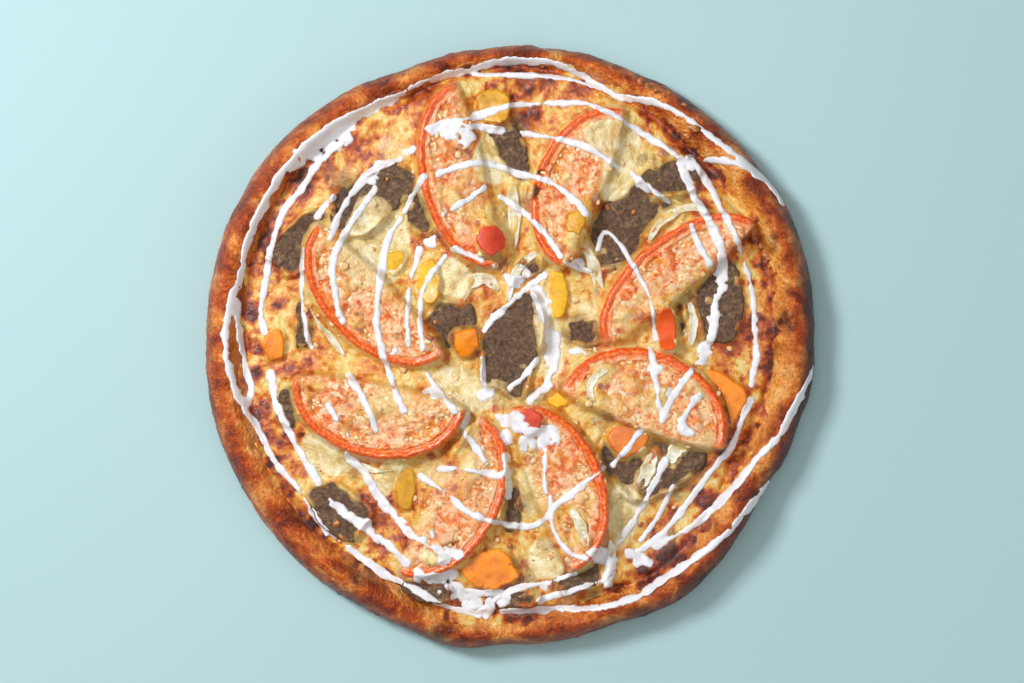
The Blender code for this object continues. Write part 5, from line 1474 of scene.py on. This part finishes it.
def build_sauce(ground, finish):
    """The sauce, in three pieces that flow over each other: on the rim, on the left and on the right. Its
    skin is taken from the grid cells that it wets, over and under, with a wall round them."""
    groups = [[], [], []]
    for stroke in SAUCE_STROKES:
        middle = place(stroke[0]).mean(axis=0)
        reach = np.hypot(*place(stroke[0]).T).mean()
        groups[0 if reach > RIM_STROKE_REACH else 1 + int(middle[0] > 0.0)].append(stroke)
    dabs = [[], [], []]
    for dab in SAUCE_DABS:
        dabs[1 + int(place(dab[:2])[0] > 0.0)].append(dab)
    level = np.maximum(blur(ground, 0.7 * MM), blur(ground, 0.3 * MM) - 0.1 * MM)
    limit = CAD_BOUNDS[1][2] - 0.1 * MM
    for number, strokes in enumerate(groups):
        depth = pour(strokes, dabs[number])
        full = np.clip(depth, 0.0, 1.0)
        over = level + SAUCE_HEIGHT * np.where(depth > 0, 1.25 * full / (full + 0.25), depth * 1.5)
        over = np.minimum(over, limit)
        under = np.minimum(over, ground) - 0.5 * MM
        points, faces = cell_skin(wet_cells(depth > SAUCE_EDGE), depth, over, under)
        add_piece(f"sauce_{number + 1}", points, faces, finish, "white_sauce")


def wet_cells(wet):
    """The cells whose four corners are all wet. Where two would touch only at a corner, the cells round it
    are filled."""
    cells = wet[:-1, :-1] & wet[1:, :-1] & wet[1:, 1:] & wet[:-1, 1:]
    for _ in range(4):
        a, b, c, d = cells[:-1, :-1], cells[1:, :-1], cells[1:, 1:], cells[:-1, 1:]
        crossed = (a & c & ~b & ~d) | (b & d & ~a & ~c)
        for part in ((slice(0, -1), slice(0, -1)), (slice(1, None), slice(0, -1)),
                     (slice(1, None), slice(1, None)), (slice(0, -1), slice(1, None))):
            cells[part] |= crossed
    return cells


def cell_skin(cells, depth, over, under):
    """Points and faces of the solid over a set of grid cells: a quad above and one below each cell, and a
    wall quad on each side that has no cell next to it. Points at the edge slide outwards down the slope of
    the depth, so that the outline is smooth instead of stepped."""
    used = np.zeros(GRID_X.shape, dtype=bool)
    inner = np.ones(GRID_X.shape, dtype=bool)
    padded = np.pad(cells, 1)
    for i, j in itertools.product((0, 1), repeat=2):
        around = padded[i: i + used.shape[0], j: j + used.shape[1]]
        used |= around
        inner &= around
    number = np.cumsum(used).reshape(used.shape) - 1
    total = int(used.sum())
    slope_x, slope_y = np.gradient(depth, CELL)
    steep = np.maximum(np.hypot(slope_x, slope_y), 1.0)
    slide = np.where(inner, 0.0, np.clip((depth - SAUCE_EDGE) / steep, 0.0, 0.6 * CELL)) / steep
    flat = np.stack([(GRID_X - slope_x * slide)[used], (GRID_Y - slope_y * slide)[used]], axis=1)
    points = np.concatenate([np.column_stack([flat, over[used]]), np.column_stack([flat, under[used]])])
    corners = np.stack([number[:-1, :-1], number[1:, :-1], number[1:, 1:], number[:-1, 1:]], axis=-1)
    upper = corners[cells]
    faces = [upper, upper[:, ::-1] + total]
    sides = ((0, 1, (1, 0)), (1, 2, (2, 1)), (2, 3, (1, 2)), (3, 0, (0, 1)))
    for first, second, (i, j) in sides:
        beside = padded[i: i + cells.shape[0], j: j + cells.shape[1]]
        open_side = cells & ~beside
        a, b = corners[open_side][:, first], corners[open_side][:, second]
        faces.append(np.stack([b, a, a + total, b + total], axis=-1))
    return points, (np.concatenate(faces),)


def scatter(name, centres, sizes, turns, finish, material_slot, squash, seed):
    """Many small rounded grains as one piece: one low ball, stretched, turned and moved for each grain, with
    its surface made uneven by random numbers."""
    rings, sides = 4, 7
    tilt = np.linspace(0.0, math.pi, rings + 2)[1:-1]
    around = np.arange(sides) * 2 * math.pi / sides
    ball = np.stack([
        np.sin(tilt)[:, None] * np.cos(around),
        np.sin(tilt)[:, None] * np.sin(around),
        -np.cos(tilt)[:, None] * np.ones(sides),
    ], axis=-1).reshape(-1, 3)
    ball = np.concatenate([[(0.0, 0.0, -1.0)], ball, [(0.0, 0.0, 1.0)]])
    uneven = 1.0 + np.random.default_rng(seed).uniform(-0.22, 0.22, (len(centres), len(ball), 1))
    grains = ball[None] * uneven * sizes[:, None, :] * (1.0, 1.0, squash)
    cos, sin = np.cos(turns)[:, None], np.sin(turns)[:, None]
    x = grains[..., 0] * cos - grains[..., 1] * sin
    y = grains[..., 0] * sin + grains[..., 1] * cos
    points = (np.stack([x, y, grains[..., 2]], axis=-1) + centres[:, None, :]).reshape(-1, 3)
    quads, triangles = ring_faces(rings, sides)
    shift = (np.arange(len(centres)) * len(ball))[:, None, None]
    faces = ((quads + shift).reshape(-1, 4), (triangles + shift).reshape(-1, 3))
    add_piece(name, points, faces, finish, material_slot)


def build_seeds(tomatoes, finish):
    """Seeds in the hollows of the tomato slices, lying on the jelly."""
    draw = np.random.default_rng(5)
    centres = []
    for tomato in tomatoes:
        low, high = tomato.corners.min(axis=0), tomato.corners.max(axis=0)
        flat = draw.uniform(low, high, (SEED_DRAWS, 2))
        inset = tomato.inset(flat[:, 0], flat[:, 1])
        flat = flat[tomato.hollow(flat[:, 0], flat[:, 1], inset) > 0.75][:SEEDS_PER_SLICE]
        centres.append(np.column_stack([flat, tomato.top(flat[:, 0], flat[:, 1]) + 0.1 * MM]))
    centres = np.concatenate(centres)
    sizes = draw.uniform(0.85, 1.25, (len(centres), 1)) * np.array([[1.15, 0.8, 0.8]]) * MM
    turns = draw.uniform(0, math.pi, len(centres))
    scatter("tomato_seeds", centres, sizes, turns, finish, "tomato", 0.55, 6)


def build_scraps(surface, finish):
    """Small browned scraps: the placed ones, and finer ones scattered over the whole."""
    draw = np.random.default_rng(9)
    placed = np.array([place((x, y)) for x, y, size in SCRAPS])
    placed_size = np.array([size for x, y, size in SCRAPS]) * MM
    turn = draw.uniform(0, 2 * math.pi, LOOSE_SCRAPS)
    reach = np.sqrt(draw.uniform(0, 1, LOOSE_SCRAPS)) * SCRAP_REACH
    loose = np.stack([reach * np.cos(turn), reach * np.sin(turn)], axis=1) - BOX_MIDDLE
    flat = np.concatenate([placed, loose])
    size = np.concatenate([placed_size, draw.uniform(0.2, 0.5, LOOSE_SCRAPS) * MM])
    centres = np.column_stack([flat, sample(surface, flat[:, 0], flat[:, 1]) + 0.25 * size])
    sizes = size[:, None] * draw.uniform(0.6, 1.3, (len(size), 3))
    turns = draw.uniform(0, math.pi, len(size))
    scatter("browned_scraps", centres, sizes, turns, finish, "melted_cheese", 0.4, 10)


def build_lumps(surface, is_tomato, finish):
    """Small half-melted lumps of cheese, most of them on the tomato slices and round the middle."""
    draw = np.random.default_rng(15)
    turn = draw.uniform(0, 2 * math.pi, LUMP_DRAWS)
    reach = np.sqrt(draw.uniform(0, 1, LUMP_DRAWS)) * LUMP_REACH
    flat = np.stack([reach * np.cos(turn), reach * np.sin(turn)], axis=1)
    crowd = noise(flat_points(flat[:, 0], flat[:, 1]), 9 * MM, 17)
    chance = 0.06 + 0.3 * sample(is_tomato, flat[:, 0], flat[:, 1]) + 0.2 * (crowd > 0.15)
    flat = flat[draw.uniform(0, 1, len(flat)) < chance]
    size = draw.uniform(0.5, 1.6, len(flat)) * MM
    centres = np.column_stack([flat, sample(surface, flat[:, 0], flat[:, 1]) - 0.1 * size])
    sizes = size[:, None] * draw.uniform(0.6, 1.4, (len(size), 3))
    turns = draw.uniform(0, math.pi, len(size))
    scatter("cheese_lumps", centres, sizes, turns, finish, "melted_cheese", 0.35, 16)


def lump_finish():
    """Half-melted cheese: cream-coloured, toasted in places."""
    paint = Paint("cheese_lump", Coat_Weight=0.3, Coat_Roughness=0.2, Subsurface_Weight=0.1,
                  Subsurface_Radius=(0.003, 0.002, 0.001), Subsurface_Scale=0.6)
    tone = paint.noise(0.0035, 4.0, 0.6)
    colour = paint.ramp(tone, (0.32, (208, 128, 60)), (0.45, (228, 182, 118)), (0.6, (236, 212, 166)))
    return paint.done(colour, 0.34, paint.bump(tone, 0.0005))


def make_floor():
    """A plain pale floor."""
    paint = Paint("pale_floor", Roughness=0.7)
    bpy.ops.mesh.primitive_plane_add(size=6.0, location=(0.0, 0.0, -0.0003))
    floor = bpy.context.object
    floor.name = "floor"
    floor.data.materials.append(paint.done(linear(170, 202, 206)))


def make_light():
    """Plain soft studio light: a source from the upper left, a wide one above, a weaker one opposite, and a
    dim pale sky."""
    world = bpy.data.worlds.new("soft_sky")
    world.use_nodes = True
    world.node_tree.nodes["Background"].inputs["Color"].default_value = (1.0, 0.95, 0.88, 1.0)
    world.node_tree.nodes["Background"].inputs["Strength"].default_value = 0.2
    bpy.context.scene.world = world
    for name, spot, width, power in (
        ("window", (-0.7, 0.45, 0.95), 0.3, 14.0),
        ("ceiling", (-0.3, 0.3, 2.2), 2.0, 13.5),
        ("bounce", (0.9, -0.5, 0.9), 0.9, 3.5),
    ):
        light = bpy.data.lights.new(name, "AREA")
        light.size = width
        light.energy = power
        lamp = bpy.data.objects.new(name, light)
        bpy.context.scene.collection.objects.link(lamp)
        lamp.location = spot
        away = np.array(spot) / np.linalg.norm(spot)
        lamp.rotation_euler = (math.acos(away[2]), 0.0, math.atan2(away[0], -away[1]))


def make_camera():
    """The photograph's view: straight down, from where the picture's width spans its share of the pizza."""
    camera = bpy.data.cameras.new("overhead")
    camera.lens = 120.0
    camera.sensor_width = 36.0
    holder = bpy.data.objects.new("overhead", camera)
    bpy.context.scene.collection.objects.link(holder)
    rim_level = 8 * MM
    distance = PHOTO_SIZE[0] * PIXEL * camera.lens / camera.sensor_width
    aim = place((PHOTO_SIZE[0] / 2, PHOTO_SIZE[1] / 2))
    holder.location = (aim[0], aim[1], rim_level + distance)
    bpy.context.scene.camera = holder


def main():
    """Works out the heights, builds every piece, and sets the stage."""
    bpy.context.scene.view_settings.view_transform = "Standard"
    meats, peppers, onions, tomatoes = make_toppings()
    slabs = lay_slabs()
    top, bare, is_tomato, is_meat, is_small = pile_up([*meats, *peppers, *onions, *tomatoes], slabs)
    surface = cheese_surface(top, bare, slabs, tomatoes, is_small)
    build_cheese(cheese_finish(), surface, cheese_paints(surface, top, slabs, is_tomato, is_meat))
    build_crust(crust_finish())
    meat_paint, tomato_paint, onion_paint = meat_finish(), tomato_finish(), onion_finish()
    for meat in meats:
        build_meat(meat, meat_paint)
    pepper_paints = {name: pepper_finish(name) for name in PEPPER_COLOURS}
    for pepper in peppers:
        build_pepper(pepper, pepper_paints[pepper.colour])
    for onion in onions:
        build_onion(onion, onion_paint)
    for tomato in tomatoes:
        build_tomato(tomato, tomato_paint)
    reach, degrees = seen_from_middle(GRID_X, GRID_Y)
    bread = crust_height(GRID_X, GRID_Y) - 0.3 * MM
    on_rim = reach > cheese_radius(degrees)
    food = np.maximum(np.where(on_rim, np.maximum(bread, surface), surface), top)
    build_sauce(food, sauce_finish())
    build_seeds(tomatoes, seed_finish())
    build_scraps(food, crumb_finish())
    build_lumps(surface, is_tomato, lump_finish())
    make_floor()
    make_light()
    make_camera()


main()
